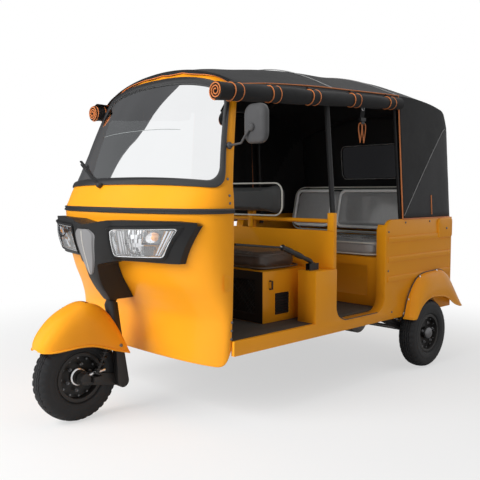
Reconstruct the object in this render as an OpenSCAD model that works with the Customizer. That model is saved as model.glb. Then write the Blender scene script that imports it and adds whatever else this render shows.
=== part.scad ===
// Passenger three-wheeler with a canvas hood.
// Forward is -Y, left is +X, up is +Z. The origin is on the ground, at the middle of the overall length
// and of the overall width with the mirror.

/* [Overall] */
// Length from the front tyre to the tips of the rear fenders
overall_len = 2600; // [2560:5:2640]
// Height of the crown of the hood
overall_h = 1740; // [1710:5:1780]
// Half the width over the rear fenders
fender_half = 678; // [674:1:690]
// Half the width of the body sides
body_half = 598; // [590:1:602]
// Distance from the centre plane to the outer end of the mirror
mirror_reach = 796; // [780:1:840]
// Distance from the front axle to the rear axle
wheelbase = 1990; // [1970:5:2000]

/* [Wheels] */
// Outer radius of the tyres
tyre_r = 203; // [198:1:208]
// Width of the tyres
tyre_w = 104; // [96:1:110]
// Radius of the rim flange
rim_r = 114; // [108:1:120]
// Distance between the centre planes of the rear wheels
track = 1224; // [1216:1:1230]
// Radius of the front stub axle
front_axle_r = 10; // [8:0.5:14]
// Radius of the rear drive shafts
rear_axle_r = 14; // [12:0.5:18]
// Radial gap of the wheel hubs on their axles
hub_gap = 0.05; // [0.02:0.01:0.09]

/* [Steering] */
// Rake of the steering axis
rake = 25; // [23:0.5:27]
// Radius of the steering stem
stem_r = 20; // [17:0.5:23]
// Wall of the steering head
head_wall = 10; // [8:0.5:14]
// Radial gap of the stem in the steering head
stem_gap = 0.05; // [0.02:0.01:0.09]
// Half the span of the handlebar
bar_half = 270; // [240:5:290]
// Wall of the front fender
front_fender_t = 4; // [3:0.5:6]

/* [Body] */
// Height of the floor
floor_z = 388; // [380:1:396]
// Height of the lower edge of the body sides
sill_z = 322; // [314:1:330]
// Height of the top edge of the body sides
waist_z = 888; // [878:1:900]
// Thickness of the body sides
side_t = 20; // [14:1:26]
// Thickness of the front cowl
cowl_t = 10; // [8:0.5:14]
// Depth of the front cowl at the belt strip
cowl_depth = 275; // [265:1:285]
// How far the lamp fascia reaches in front of the cowl's rear edge
fascia_depth = 350; // [335:1:365]
// Height of the belt strip
belt_z = 962; // [952:1:972]
// Height of the belt strip's band
belt_h = 30; // [20:1:40]
// Depth of the doorway's inner frame
door_frame_w = 60; // [50:1:70]
// Wall of the rear fenders
rear_fender_t = 5; // [4:0.5:7]

/* [Hood] */
// Thickness of the canvas
canvas_t = 6; // [4:0.5:8]
// Radius of the hood's frame tubes
tube_r = 14; // [11:0.5:16]
// Radius of the rolled curtain at its front end
roll_r = 42; // [36:1:46]

/* [Seats] */
// Height of the driver's cushion
driver_cushion_z = 745; // [730:1:760]
// Height of the passenger cushion
rear_cushion_z = 765; // [750:1:780]
// Thickness of the cushions
cushion_t = 95; // [80:1:110]
// Height of the top of the passenger backrest
rear_back_z = 1090; // [1060:5:1110]

/* [Mounts] */
// Radius of the towing eye
tow_hole_r = 14; // [10:0.5:16]
// Distance between the two holes of the rear plate bracket
plate_pitch = 160; // [120:5:200]
// Radius of the holes of the rear plate bracket
plate_hole_r = 3.5; // [2.5:0.5:5]

/* [Hidden] */
$fn = 48;
yellow = [0.96, 0.66, 0.10];
black = [0.10, 0.10, 0.11];
grey = [0.45, 0.45, 0.46];
vinyl = [0.36, 0.34, 0.32];
steel = [0.70, 0.70, 0.72];

front_y = -overall_len / 2;
tail_y = overall_len / 2 - 53;
front_axle_y = front_y + tyre_r;
rear_axle_y = front_axle_y + wheelbase;
wheel_x = track / 2;
// Gap between pieces that lie on one another
lie = 0.3;
// The vehicle's centre plane lies to the right of the origin by this much
mid_x = (mirror_reach - fender_half) / 2;

// Steering axis: a point on it, and the frame that runs up along it
steer_y = front_axle_y + 206;
steer_z = 540;
stem_low = -40;
stem_top = 335;
head_low = 45;
head_top = 260;
head_r = stem_r + head_wall;
strut_r = 20;

// Cowl: its rear edge, its plan exponent, and the heights of its lower and upper edges
cowl_rear_y = steer_y + 227;
plan_n = 2.5;
cowl_low_z = sill_z - 50;
header_z = overall_h - 122;
header_side_z = header_z - 113;
// Form of the cowl: level (0 lower edge, 1 belt, 2 header), inset, depth share, set back
L = 0;
INSET = 1;
DEPTH = 2;
BACK = 3;
cowl_form = [
    [0.00, 18, 0.345, 0],
    [0.28, 8, 0.345, 0],
    [0.41, 6, 0.50, 0],
    [0.52, 4, 0.69, 0],
    [0.61, 2, 0.80, 0],
    [0.75, 0, 0.93, 0],
    [0.91, 0, 0.99, 0],
    [1.00, 0, 1.00, 0],
    [1.06, 1, 0.92, 0],
    [1.13, 5, 0.84, 2],
    [1.20, 14, 0.764, 6],
    [1.575, 53, 0.503, 53],
    [1.95, 98, 0.236, 111],
    [2.00, 112, 0.13, 124]
];
// Windscreen opening: levels of its edges, and the angles that it spans at them
glass_low = 1.20;
glass_top = 1.94;
glass_low_deg = 77;
glass_top_deg = 66;
glass_share = 0.84;

// Doorways, boxed pillars and quarters
pillar_y = cowl_rear_y + 560;
door_y = pillar_y + 168;
door_end_y = door_y + 440;
door_r = 80;
quarter_r = 70;
door_z = floor_z - 12;
pillar_in = body_half - 118;
pillar_z = floor_z + 262;
partition_t = 24;
partition_z = floor_z + 457;
quarter_y = door_end_y + 172;
rib_h = 32;
rib_pitch = 112;
rib_proud = 4;

// Hood: share of its length, drop of the crown and of the eaves below the top, inset of the eaves
hood_y = cowl_rear_y + 80;
CROWN = 1;
EAVE = 2;
NARROW = 3;
hood_form = [
    [0.00, 106, 217, 98],
    [0.04, 92, 208, 92],
    [0.12, 60, 192, 80],
    [0.27, 28, 175, 60],
    [0.43, 10, 166, 40],
    [0.66, 0, 156, 12],
    [0.76, 4, 160, 4],
    [0.86, 34, 174, 0],
    [1.00, 120, 190, 0]
];
hood_len = tail_y - hood_y;
back_lean = 0.12;
quarter_lean = 0.075;
// How far the rolled curtain's centre line lies outside the eaves
roll_out = 14;
// Width of the straps that hold the rolled curtains
strap_w = 45;

// Seats
driver_seat_half = 430;
driver_seat_y = pillar_y - 205;
driver_seat_end = door_y - 60;
rear_seat_half = body_half - door_frame_w - 12;
rear_seat_y = door_end_y + 10;
rear_seat_end = tail_y - 180;

// Front end
link_x = tyre_w / 2 + 8;
link_t = 22;
leg_x = link_x + 1 + lie;
leg_t = 34;
// How much the tilted ends of the front spring rise and fall at their rims
spring_drop = 8;
leg_y = steer_y - 10;
leg_z = tyre_r - 44;
fender_nose_y = front_axle_y - 198;

// Rear drive
arm_x = wheel_x - tyre_w / 2 - 40;
rail_x = 330;
spring_z = tyre_r + 62;
rail_w = 50;
rail_h = 66;
rail_top = floor_z - 18;
tow_r = 28;

// Smooth reading of column c of a table at z
function seg(t, z, i = 0) = (i >= len(t) - 2 || z < t[i + 1][0]) ? i : seg(t, z, i + 1);
function slope(t, i, c) =
    let (a = max(i - 1, 0), b = min(i + 1, len(t) - 1))
    (t[b][c] - t[a][c]) / (t[b][0] - t[a][0]);
function curve(t, z, c) =
    let (i = seg(t, z), h = t[i + 1][0] - t[i][0], u = (z - t[i][0]) / h)
    let (a = t[i][c], b = t[i + 1][c], p = slope(t, i, c) * h, q = slope(t, i + 1, c) * h)
    a + p * u + (3 * (b - a) - 2 * p - q) * u * u + (2 * (a - b) + p + q) * u * u * u;
function mix(a, b, u) = a + (b - a) * u;
function power(a, n) = a <= 0 ? 0 : pow(a, n);

// Closed solid between two grids of points, open where keep is false
module sheet(outer, inner, keep = undef) {
    rows = len(outer);
    cols = len(outer[0]);
    function on(i, j) =
        i >= 0 && j >= 0 && i < rows - 1 && j < cols - 1 && (is_undef(keep) || keep[i][j]);
    function id(i, j, k) = (k * rows + i) * cols + j;
    function quad(a, b, c, d) = [[a, b, c], [a, c, d]];
    skin = [for (i = [0:rows - 2], j = [0:cols - 2]) if (on(i, j)) each concat(
        quad(id(i, j, 0), id(i + 1, j, 0), id(i + 1, j + 1, 0), id(i, j + 1, 0)),
        quad(id(i, j, 1), id(i, j + 1, 1), id(i + 1, j + 1, 1), id(i + 1, j, 1)),
        on(i - 1, j) ? [] : quad(id(i, j, 0), id(i, j + 1, 0), id(i, j + 1, 1), id(i, j, 1)),
        on(i + 1, j) ? [] : quad(id(i + 1, j, 0), id(i + 1, j, 1), id(i + 1, j + 1, 1), id(i + 1, j + 1, 0)),
        on(i, j - 1) ? [] : quad(id(i, j, 0), id(i, j, 1), id(i + 1, j, 1), id(i + 1, j, 0)),
        on(i, j + 1) ? [] : quad(id(i, j + 1, 0), id(i + 1, j + 1, 0), id(i + 1, j + 1, 1), id(i, j + 1, 1)))];
    points = [for (grid = [outer, inner], row = grid, p = row) p];
    polyhedron(points, skin, convexity = 6);
}

// Profile drawn in the Y-Z plane, extruded from x0 to x1
module yz(x0, x1) {
    translate([x0, 0, 0]) rotate([90, 0, 90]) linear_extrude(x1 - x0) children();
}

// Round bar between two points
module rod(a, b, r) {
    d = b - a;
    l = norm(d);
    translate(a) rotate([0, acos(d[2] / l), atan2(d[1], d[0])]) cylinder(h = l, r = r);
}

// The vehicle, moved from its own centre plane to the origin
module placed() {
    translate([-mid_x, 0, 0]) children();
}

// Box given by two corners
module block(a, b) {
    translate(a) cube(b - a);
}

// Frame along the steering axis: +Z runs up the stem, +Y to the rear
module along_stem() {
    translate([0, steer_y, steer_z]) rotate([-rake, 0, 0]) children();
}

// Coil from z = 0 to h about the Z axis
module coil(r, wire, h, turns) {
    steps = 12 * turns;
    sides = 6;
    rings = [for (i = [0:steps]) let (a = 360 * turns * i / steps, z = mix(wire, h - wire, i / steps))
        [for (j = [0:sides]) let (b = -360 * j / sides)
            [(r + wire * cos(b)) * cos(a), (r + wire * cos(b)) * sin(a), z + wire * sin(b)]]];
    faces = concat(
        [for (i = [0:steps - 1], j = [0:sides - 1]) let (n = (j + 1) % sides, o = i * sides, p = o + sides)
            each [[o + j, p + j, p + n], [o + j, p + n, o + n]]],
        [[for (j = [0:sides - 1]) j], [for (j = [0:sides - 1]) steps * sides + sides - 1 - j]]);
    polyhedron([for (ring = rings, j = [0:sides - 1]) ring[j]], faces, convexity = 8);
}

// Cowl surface at a level and an angle from straight ahead
function cowl_low(t) =
    cowl_low_z + 75 * pow(max(0, abs(t) - 60) / 30, 3);
function cowl_high(t) = header_side_z + (header_z - header_side_z) * power(cos(t), 1.4);
function cowl_height(h, t) =
    h <= 1 ? mix(cowl_low(t), belt_z, h) : mix(belt_z, cowl_high(t), h - 1);
function cowl_at(h, t, off = 0) =
    let (w = body_half - curve(cowl_form, h, INSET) + off)
    let (b = cowl_depth * curve(cowl_form, h, DEPTH) + off)
    [w * sign(t) * power(abs(sin(t)), 2 / plan_n),
     cowl_rear_y + curve(cowl_form, h, BACK) - b * power(cos(t), 2 / plan_n),
     cowl_height(h, t)];
// Front surface of the cowl below the belt strip, at a given x and z
function cowl_y(x, z, off = 0) =
    let (t = asin(min(1, power(abs(x) / body_half, plan_n / 2))), low = cowl_low(t))
    cowl_rear_y - (cowl_depth * curve(cowl_form, (z - low) / (belt_z - low), DEPTH) + off)
        * power(cos(t), 2 / plan_n);
// Angle of column f (-1 to 1) at level h, with the windscreen spanning glass_share of the columns
function screen_deg(h, f) =
    let (u = min(1, max(0, (h - glass_low) / (glass_top - glass_low))))
    let (w = mix(glass_low_deg, glass_top_deg, u), a = abs(f))
    sign(f) * (a <= glass_share ? w * a / glass_share : mix(w, 90, (a - glass_share) / (1 - glass_share)));

// Hood sections: from eave to eave over the crown, at a share of the hood's length
function hood_crown(u) = overall_h - curve(hood_form, u, CROWN);
function hood_eave(u) = overall_h - curve(hood_form, u, EAVE);
function hood_half(u) = body_half - curve(hood_form, u, NARROW);
function hood_bow(u) = mix(1.5, 2.2, min(1, u / 0.12));
function hood_share(y) = (y - hood_y) / hood_len;
function hood_front_edge(z) = quarter_y - quarter_lean * (z - waist_z);
function hood_back_edge(z) = tail_y - back_lean * (z - waist_z);
function roof_section(u, steps, off) =
    [for (j = [-steps:steps]) let (k = j / steps)
        [(hood_half(u) + off) * sin(90 * k), hood_y + hood_len * u,
         mix(hood_eave(u), hood_crown(u), power(cos(90 * k), hood_bow(u))) + off]];
// Rounding of the hood towards its back edge: share along the quarter, inset, drops of eave and crown
hood_round = [[0, 0, 0, 0], [0.55, 0, 0, 0], [0.80, 3, 15, 14], [0.92, 8, 36, 44], [1.00, 16, 110, 96]];
function rear_section(q, off, side_steps = 5, roof_steps = 8) =
    let (inset = curve(hood_round, q, 1))
    let (u = hood_share(mix(hood_front_edge(1500), hood_back_edge(1500), q)))
    let (eave = hood_eave(u) - curve(hood_round, q, 2), crown = hood_crown(u) - curve(hood_round, q, 3))
    [for (j = [-side_steps - roof_steps:side_steps + roof_steps])
        let (a = abs(j), k = min(1, a / roof_steps), side = max(0, (a - roof_steps) / side_steps))
        let (half = mix(hood_half(u), body_half, side) - inset + off)
        let (z = side > 0 ? mix(eave, waist_z, side) : mix(eave, crown, power(cos(90 * k), 2.2)))
        [sign(j) * half * sin(90 * k), mix(hood_front_edge(z), hood_back_edge(z), q),
         z + (side > 0 ? off * (1 - side) : off)]];

// Rails, cross members and the steering head
module chassis_frame() {
    color(black) {
        for (s = [-1, 1])
            block([s * rail_x - rail_w / 2, cowl_rear_y - 40, rail_top - rail_h],
                [s * rail_x + rail_w / 2, tail_y - 30, rail_top]);
        for (y = [cowl_rear_y - 20, pillar_y + 60, door_end_y + 30, tail_y - 70])
            block([-rail_x - rail_w / 2, y, rail_top - rail_h + 8], [rail_x + rail_w / 2, y + 40, rail_top]);
        for (s = [-1, 1]) mirror([s < 0 ? 1 : 0, 0, 0])
            block([rail_x, rear_axle_y - 112, rail_top - 20], [arm_x, rear_axle_y - 28, rail_top]);
        difference() {
            union() {
                along_stem() translate([0, 0, head_low]) cylinder(h = head_top - head_low, r = head_r);
                rod([0, steer_y + 63, steer_z + 136], [0, cowl_rear_y + 30, rail_top - 30], strut_r);
            }
            along_stem() translate([0, 0, head_low - 20])
                cylinder(h = head_top - head_low + 40, r = stem_r + stem_gap);
        }
    }
}

// Floor, with its front edge following the cowl
module floor_pan() {
    front = [for (k = [-12:12]) let (p = cowl_at(0.14, 90 * k / 12, -cowl_t - 5)) [p[0], p[1]]];
    wide = body_half - side_t - lie;
    narrow = body_half - door_frame_w - lie;
    rear = rear_seat_y + 200;
    color(black) translate([0, 0, rail_top + lie]) linear_extrude(floor_z - rail_top - lie) difference() {
        polygon(concat(front,
            [[wide, door_y], [narrow, door_y], [narrow, rear], [-narrow, rear], [-narrow, door_y], [-wide, door_y]]));
        translate([-strut_r - 4, cowl_rear_y - cowl_depth]) square([2 * strut_r + 8, cowl_depth + 66]);
    }
}

// Outline of a headlamp, seen along its own axis
module lamp_outline(g = 0) {
    offset(r = g + 14) offset(r = -14) polygon([[-183, -66], [-176, 60], [187, 72], [103, -56]]);
}
// Frame of the headlamp on one side: +Y to the rear, along the lamp's axis
module lamp_frame(side) {
    mirror([side < 0 ? 1 : 0, 0, 0]) translate([325, fascia_y(325, belt_z - 142) + 20, belt_z - 142])
        rotate([0, 0, 17.4]) rotate([90, 0, 0]) children();
}

// Lower cowl, from its lower edge to the belt strip
module front_cowl() {
    levels = [0, 0.08, 0.16, 0.24, 0.32, 0.4, 0.48, 0.55, 0.62, 0.7, 0.79, 0.88, 0.94, 1];
    turns = [for (k = [-16:16]) 90 * k / 16];
    color(yellow) difference() {
        sheet([for (h = levels) [for (t = turns) cowl_at(h, t)]],
            [for (h = levels) [for (t = turns) cowl_at(h, t, -cowl_t)]]);
        along_stem() translate([0, 0, head_low - 40]) cylinder(h = 200, r = head_r + 3);
        for (s = [-1, 1])
            lamp_frame(s) translate([0, 0, -70]) linear_extrude(200) lamp_outline(3);
    }
}

// Windscreen surround: lower band, pillars and header
module windscreen_frame() {
    levels = concat([1, 1.06, 1.12, 1.16], [for (i = [0:8]) mix(glass_low, glass_top, i / 8)], [1.97, 2]);
    cols = concat([-1, -0.92], [for (k = [-12:12]) glass_share * k / 12], [0.92, 1]);
    keep = [for (i = [0:len(levels) - 2]) [for (j = [0:len(cols) - 2])
        levels[i] < glass_low || levels[i] >= glass_top || abs(cols[j] + cols[j + 1]) / 2 > glass_share]];
    color(yellow) sheet([for (h = levels) [for (f = cols) cowl_at(h, screen_deg(h, f))]],
        [for (h = levels) [for (f = cols) cowl_at(h, screen_deg(h, f), -cowl_t)]], keep);
}

// Rubber strip round the cowl at the belt
module belt_strip() {
    turns = [for (k = [-16:16]) 90 * k / 16];
    dh = belt_h / 2 / (belt_z - cowl_low_z);
    levels = [1 - dh, 1, 1 + dh];
    color(black) sheet([for (h = levels) [for (t = turns) cowl_at(h, t, 7)]],
        [for (h = levels) [for (t = turns) cowl_at(h, t, 1.5)]]);
}

// Windscreen glass, set into the seal
module windscreen_glass() {
    levels = [for (i = [0:8]) mix(glass_low + 0.012, glass_top - 0.012, i / 8)];
    cols = [for (k = [-12:12]) (glass_share - 0.012) * k / 12];
    color([0.55, 0.62, 0.66, 0.35]) sheet(
        [for (h = levels) [for (f = cols) cowl_at(h, screen_deg(h, f), -3)]],
        [for (h = levels) [for (f = cols) cowl_at(h, screen_deg(h, f), -8)]]);
}

// Rubber seal between the glass and its frame
module windscreen_seal() {
    lap = 0.03;
    levels = concat([glass_low - 0.012], [for (i = [0:8]) mix(glass_low + lap, glass_top - lap, i / 8)],
        [glass_top + 0.012]);
    cols = concat([-glass_share - 0.02], [for (k = [-12:12]) (glass_share - lap) * k / 12], [glass_share + 0.02]);
    keep = [for (i = [0:len(levels) - 2]) [for (j = [0:len(cols) - 2])
        i == 0 || i == len(levels) - 2 || j == 0 || j == len(cols) - 2]];
    color(black) difference() {
        sheet([for (h = levels) [for (f = cols) cowl_at(h, screen_deg(h, f), 6)]],
            [for (h = levels) [for (f = cols) cowl_at(h, screen_deg(h, f), -13)]], keep);
        windscreen_frame();
        windscreen_glass();
    }
}

// Edges of the lamp fascia across the width: share of the width, lower and upper drop below the belt
LOW = 1;
TOP = 2;
fascia_form = [[0, 430, 66], [0.05, 424, 62], [0.07, 340, 60], [0.09, 248, 58], [0.25, 228, 44], [0.50, 224, 42],
    [0.80, 226, 42], [0.925, 62, 50]];
fascia_x = [0, 0.025, 0.05, 0.07, 0.09, 0.13, 0.18, 0.25, 0.34, 0.44, 0.54, 0.64, 0.73, 0.80, 0.86, 0.925];
function straight(t, z, c) =
    let (i = seg(t, z))
    mix(t[i][c], t[i + 1][c], (z - t[i][0]) / (t[i + 1][0] - t[i][0]));
// Front of the fascia by drop below the belt: share of its reach, and how far the beak stands out
REACH = 1;
BEAK = 2;
fascia_front = [[40, 0.985, 40], [85, 0.965, 46], [142, 0.93, 54], [210, 0.85, 66], [330, 0.69, 84],
    [435, 0.57, 55]];
function fascia_y(x, z) =
    let (d = belt_z - z, plan = 1 - power(abs(x) / body_half, plan_n))
    cowl_rear_y - fascia_depth * curve(fascia_front, d, REACH) * power(plan, 1 / plan_n)
        - curve(fascia_front, d, BEAK) * power(1 - pow(abs(x) / 165, 2), 0.8);
function fascia_at(f, v, front) =
    let (x = f * body_half, a = abs(f))
    let (z = belt_z - mix(straight(fascia_form, a, LOW), straight(fascia_form, a, TOP), v))
    [x, front ? fascia_y(x, z) : cowl_y(x, z) - 5, z];

// Black moulding across the nose, with the headlamp openings
module lamp_fascia() {
    cols = concat([for (i = [len(fascia_x) - 1:-1:1]) -fascia_x[i]], fascia_x);
    rows = [for (i = [0:8]) i / 8];
    color(black) difference() {
        sheet([for (v = rows) [for (f = cols) fascia_at(f, v, true)]],
            [for (v = rows) [for (f = cols) fascia_at(f, v, false)]]);
        for (s = [-1, 1])
            lamp_frame(s) translate([0, 0, -70]) linear_extrude(200) lamp_outline(3);
        along_stem() translate([0, 0, head_low - 120]) cylinder(h = 220, r = head_r + 7);
    }
}

// Grey insert on the beak
module nose_panel() {
    rows = [for (i = [0:6]) i / 6];
    cols = [for (k = [-4:4]) k / 4];
    function at(v, k, off) =
        let (z = mix(belt_z - 300, belt_z - 92, v), x = k * mix(6, 92, v))
        [x, fascia_y(x, z) - off, z];
    color(grey) sheet([for (v = rows) [for (k = cols) at(v, k, 6)]],
        [for (v = rows) [for (k = cols) at(v, k, 1.5)]]);
}

// Headlamp housings with their reflector bowls
module headlamps() {
    color(steel) for (s = [-1, 1]) lamp_frame(s) difference() {
        translate([0, 0, -62]) linear_extrude(36) lamp_outline(2);
        translate([0, 0, -57]) linear_extrude(90) lamp_outline(-4);
    }
}

// Clear covers of the headlamps
module lamp_lenses() {
    rows = [for (i = [0:4]) i / 4];
    cols = [for (i = [0:10]) i / 10];
    function at(v, u, s, off) =
        let (x = mix(mix(150, 424, u), mix(157, 504, u), v), z = belt_z - mix(mix(209, 199, u), mix(84, 71, u), v))
        [s * x, fascia_y(x, z) - off, z];
    color([0.85, 0.88, 0.90, 0.4]) for (s = [-1, 1])
        sheet([for (v = rows) [for (u = cols) at(v, s > 0 ? u : 1 - u, s, 8)]],
            [for (v = rows) [for (u = cols) at(v, s > 0 ? u : 1 - u, s, 3)]]);
}

// Wiper: spindle, arm and blade
module wiper() {
    p = cowl_at(glass_low - 0.03, -9, 3);
    tip = cowl_at(glass_low + 0.16, -25, 20);
    color(black) {
        rod(p + [0, -2, 0], p + [0, -22, 0], 9);
        rod(p + [0, -14, 0], tip, 4);
        rod(mix(p + [0, -14, 0], tip, 0.3) + [0, -2, 0], tip + [-12, 6, 18], 6);
    }
}

// Shelf below the windscreen, with a round dial
module dash_panel() {
    turns = [for (k = [-12:12]) 88 * k / 12];
    low = belt_z + 36;
    plan = [for (t = turns) let (p = cowl_at(1.1, t, -cowl_t - 2.3)) [p[0], p[1]]];
    dial_y = cowl_rear_y - 0.32 * cowl_depth;
    color(black) {
        difference() {
            translate([0, 0, low]) linear_extrude(24) polygon(plan);
            block([-body_half, cowl_rear_y - 0.3 * cowl_depth, low - 1], [body_half, 0, low + 40]);
        }
        translate([0, dial_y, low + 40]) rotate([65, 0, 0]) cylinder(h = 50, r = 62, center = true);
    }
}

// Side of the body: sill, boxed pillar, doorway frame and ribbed quarter
module door_shape(g) {
    y0 = door_y - g;
    y1 = door_end_y + g;
    r = door_r + g;
    translate([y0, door_z - g + r]) square([y1 - y0, waist_z - door_z - r + g + 200]);
    translate([y0 + r, door_z - g]) square([y1 - y0 - 2 * r, r + 1]);
    for (y = [y0 + r, y1 - r])
        translate([y, door_z - g + r]) circle(r);
}
// Corner taken off the quarter, where its top edge comes to the doorway
module quarter_corner() {
    difference() {
        translate([door_end_y - 1, waist_z - quarter_r]) square([quarter_r + 1, quarter_r + 1]);
        translate([door_end_y + quarter_r, waist_z - quarter_r]) circle(quarter_r);
    }
}
module side_outline() {
    square_y = cowl_rear_y + lie;
    difference() {
        polygon([[square_y, sill_z], [tail_y, sill_z], [tail_y, waist_z], [door_end_y - 40, waist_z],
            [door_end_y - 40, door_z], [door_y + 1, door_z], [door_y + 1, pillar_z],
            [pillar_y, pillar_z], [pillar_y, floor_z], [square_y, floor_z]]);
        translate([rear_axle_y, tyre_r]) circle(tyre_r + 32);
        translate([rear_axle_y - tyre_r - 32, 0]) square([2 * tyre_r + 64, tyre_r]);
    }
    translate([door_y - 60, door_z - 20]) square([door_end_y - door_y + 120, 100]);
}
module side_panel(side) {
    color(yellow) mirror([side < 0 ? 1 : 0, 0, 0]) {
        difference() {
            union() {
                yz(body_half - side_t, body_half) side_outline();
                yz(body_half - door_frame_w, body_half - 1) intersection() {
                    difference() {
                        door_shape(14);
                        door_shape(0);
                    }
                    union() {
                        translate([door_y - 20, door_z - 30]) square([60, pillar_z - door_z + 30]);
                        translate([door_y + 39, door_z - 30]) square([door_end_y - door_y, waist_z - door_z + 30]);
                    }
                }
                for (i = [0:2]) {
                    z = waist_z - 128 - i * rib_pitch;
                    block([body_half - 1, door_end_y + 26, z], [body_half + rib_proud, tail_y - 14, z + rib_h]);
                }
                difference() {
                    block([pillar_in, pillar_y, floor_z], [body_half - 1, door_y, pillar_z]);
                    block([pillar_in + 6, pillar_y + 6, floor_z + 6], [body_half - side_t, door_y - 6, pillar_z - 6]);
                }
            }
            yz(body_half - door_frame_w - 10, body_half + 20) door_shape(0);
            yz(body_half - door_frame_w - 10, body_half + 20) quarter_corner();
        }
    }
}

// Wall behind the driver, with its posts and grab rail
module partition() {
    y0 = door_y - partition_t;
    post = 40;
    top = partition_z + 92;
    color(yellow) {
        block([-pillar_in, y0, floor_z], [pillar_in, door_y, pillar_z]);
        block([-body_half + 4, y0, pillar_z], [body_half - 4, door_y, partition_z]);
        for (x = [-body_half + 4, -post / 2, body_half - 4 - post])
            block([x, y0 - 4, partition_z], [x + post, door_y, x > -post && x < post ? top + 90 : top]);
        rod([-body_half + 20, y0 + 10, partition_z + 50], [body_half - 20, y0 + 10, partition_z + 50], 11);
    }
}

// Box under the driver's seat, open inside, with its vent and its front opening
module driver_seat_box() {
    top = driver_cushion_z - cushion_t;
    w = driver_seat_half - 14;
    y0 = driver_seat_y + 16;
    y1 = door_y - partition_t;
    color(yellow) difference() {
        block([-w, y0, floor_z], [w, y1, top]);
        block([-w + 8, y0 + 8, floor_z + 8], [w - 8, y1 - 8, top - 8]);
        block([-w + 50, y0 - 5, floor_z + 40], [w - 50, y0 + 20, top - 40]);
        for (s = [-1, 1])
            translate([s * w - 20, y0 + 90, floor_z + 35]) cube([40, 105, 110]);
    }
}

// Battery pack in the driver's seat box
module battery_pack() {
    color(black) block([-300, driver_seat_y + 46, floor_z + 8], [300, door_y - partition_t - 40, floor_z + 190]);
}

// Cushion between two corners, with upright corners of radius r and edges rounded by e
module cushion(a, b, r, e) {
    steps = [[0, e], [0.293 * e, 0.293 * e], [e, 0]];
    hull() for (x = [a[0] + r, b[0] - r], y = [a[1] + r, b[1] - r], s = steps)
        translate([x, y, a[2] + s[1]]) cylinder(h = b[2] - a[2] - 2 * s[1], r = r - s[0], $fn = 32);
}
module driver_seat() {
    color(vinyl) cushion([-driver_seat_half, driver_seat_y, driver_cushion_z - cushion_t],
        [driver_seat_half, driver_seat_end, driver_cushion_z], 40, 26);
}
module driver_backrest() {
    color(vinyl) cushion([-300, door_y - partition_t - 74, partition_z + 92],
        [300, door_y - partition_t - 4.3, partition_z + 252], 30, 20);
}

// Box under the passenger seat
module rear_seat_base() {
    top = rear_cushion_z - cushion_t;
    color(yellow) difference() {
        block([-rear_seat_half, rear_seat_y + 20, floor_z], [rear_seat_half, tail_y - 24, top]);
        block([-rear_seat_half + 10, rear_seat_y + 30, floor_z - 5], [rear_seat_half - 10, tail_y - 34, top - 10]);
        block([-rear_seat_half + 70, rear_seat_y + 15, floor_z + 60], [rear_seat_half - 70, rear_seat_y + 24, top - 50]);
    }
}
module rear_seat() {
    color(vinyl) cushion([-rear_seat_half, rear_seat_y, rear_cushion_z - cushion_t],
        [rear_seat_half, rear_seat_end + 20, rear_cushion_z], 40, 26);
}
module rear_backrest() {
    tilt = 12;
    h = rear_back_z - rear_cushion_z - 14;
    color(vinyl) translate([0, rear_seat_end - 96, rear_cushion_z + 15.5]) rotate([-tilt, 0, 0])
        cushion([-rear_seat_half, 0, 0], [rear_seat_half, 100, h], 38, 26);
}

// Rear wall of the body, with the lamps on it
module tail_panel() {
    color(yellow) difference() {
        block([-body_half + side_t, tail_y - side_t, sill_z], [body_half - side_t, tail_y, waist_z]);
        block([-360, tail_y - 6, waist_z - 330], [360, tail_y + 5, waist_z - 60]);
        plate_holes();
    }
}
module tail_lamps() {
    color([0.7, 0.08, 0.06]) for (s = [-1, 1])
        translate([s * 480, tail_y + lie, waist_z - 250]) rotate([-90, 0, 0]) {
            translate([-45, -70, 0]) cube([90, 140, 14]);
            for (z = [-35, 35]) translate([0, z, 14]) cylinder(h = 8, r = 32);
        }
}

// Canvas roof from the header to the quarters
module hood_roof() {
    end = hood_share(hood_front_edge(overall_h) - 1);
    shares = [0, 0.02, 0.05, 0.09, 0.13, 0.2, 0.28, 0.36, 0.44, 0.55, end];
    color(black) sheet([for (u = shares) roof_section(u, 8, 0)],
        [for (u = shares) roof_section(u, 8, -canvas_t)]);
}
// Canvas quarters and the rear of the roof, in one sheet
module hood_rear() {
    shares = [0, 0.15, 0.3, 0.45, 0.55, 0.68, 0.8, 0.87, 0.93, 0.97, 1];
    color(black) sheet([for (q = shares) rear_section(q, 0)], [for (q = shares) rear_section(q, -canvas_t)]);
}
// Canvas back, with its window opening
window_half = 330;
window_low_z = 1140;
window_top_z = 1350;
module lean_back() {
    multmatrix([[1, 0, 0, 0], [0, 1, -back_lean, tail_y + back_lean * waist_z], [0, 0, 1, 0], [0, 0, 0, 1]])
        rotate([90, 0, 0]) children();
}
module window_shape(g) {
    translate([-window_half - g, window_low_z - g])
        square([2 * (window_half + g), window_top_z - window_low_z + 2 * g]);
}
module hood_back() {
    edge = [for (p = rear_section(1, -canvas_t - lie)) [p[0], p[2]]];
    color(black) lean_back() linear_extrude(canvas_t) difference() {
        polygon(edge);
        window_shape(0);
    }
}
module rear_window() {
    color([0.25, 0.26, 0.28]) lean_back() translate([0, 0, canvas_t + lie]) linear_extrude(6) window_shape(12);
}

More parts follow.
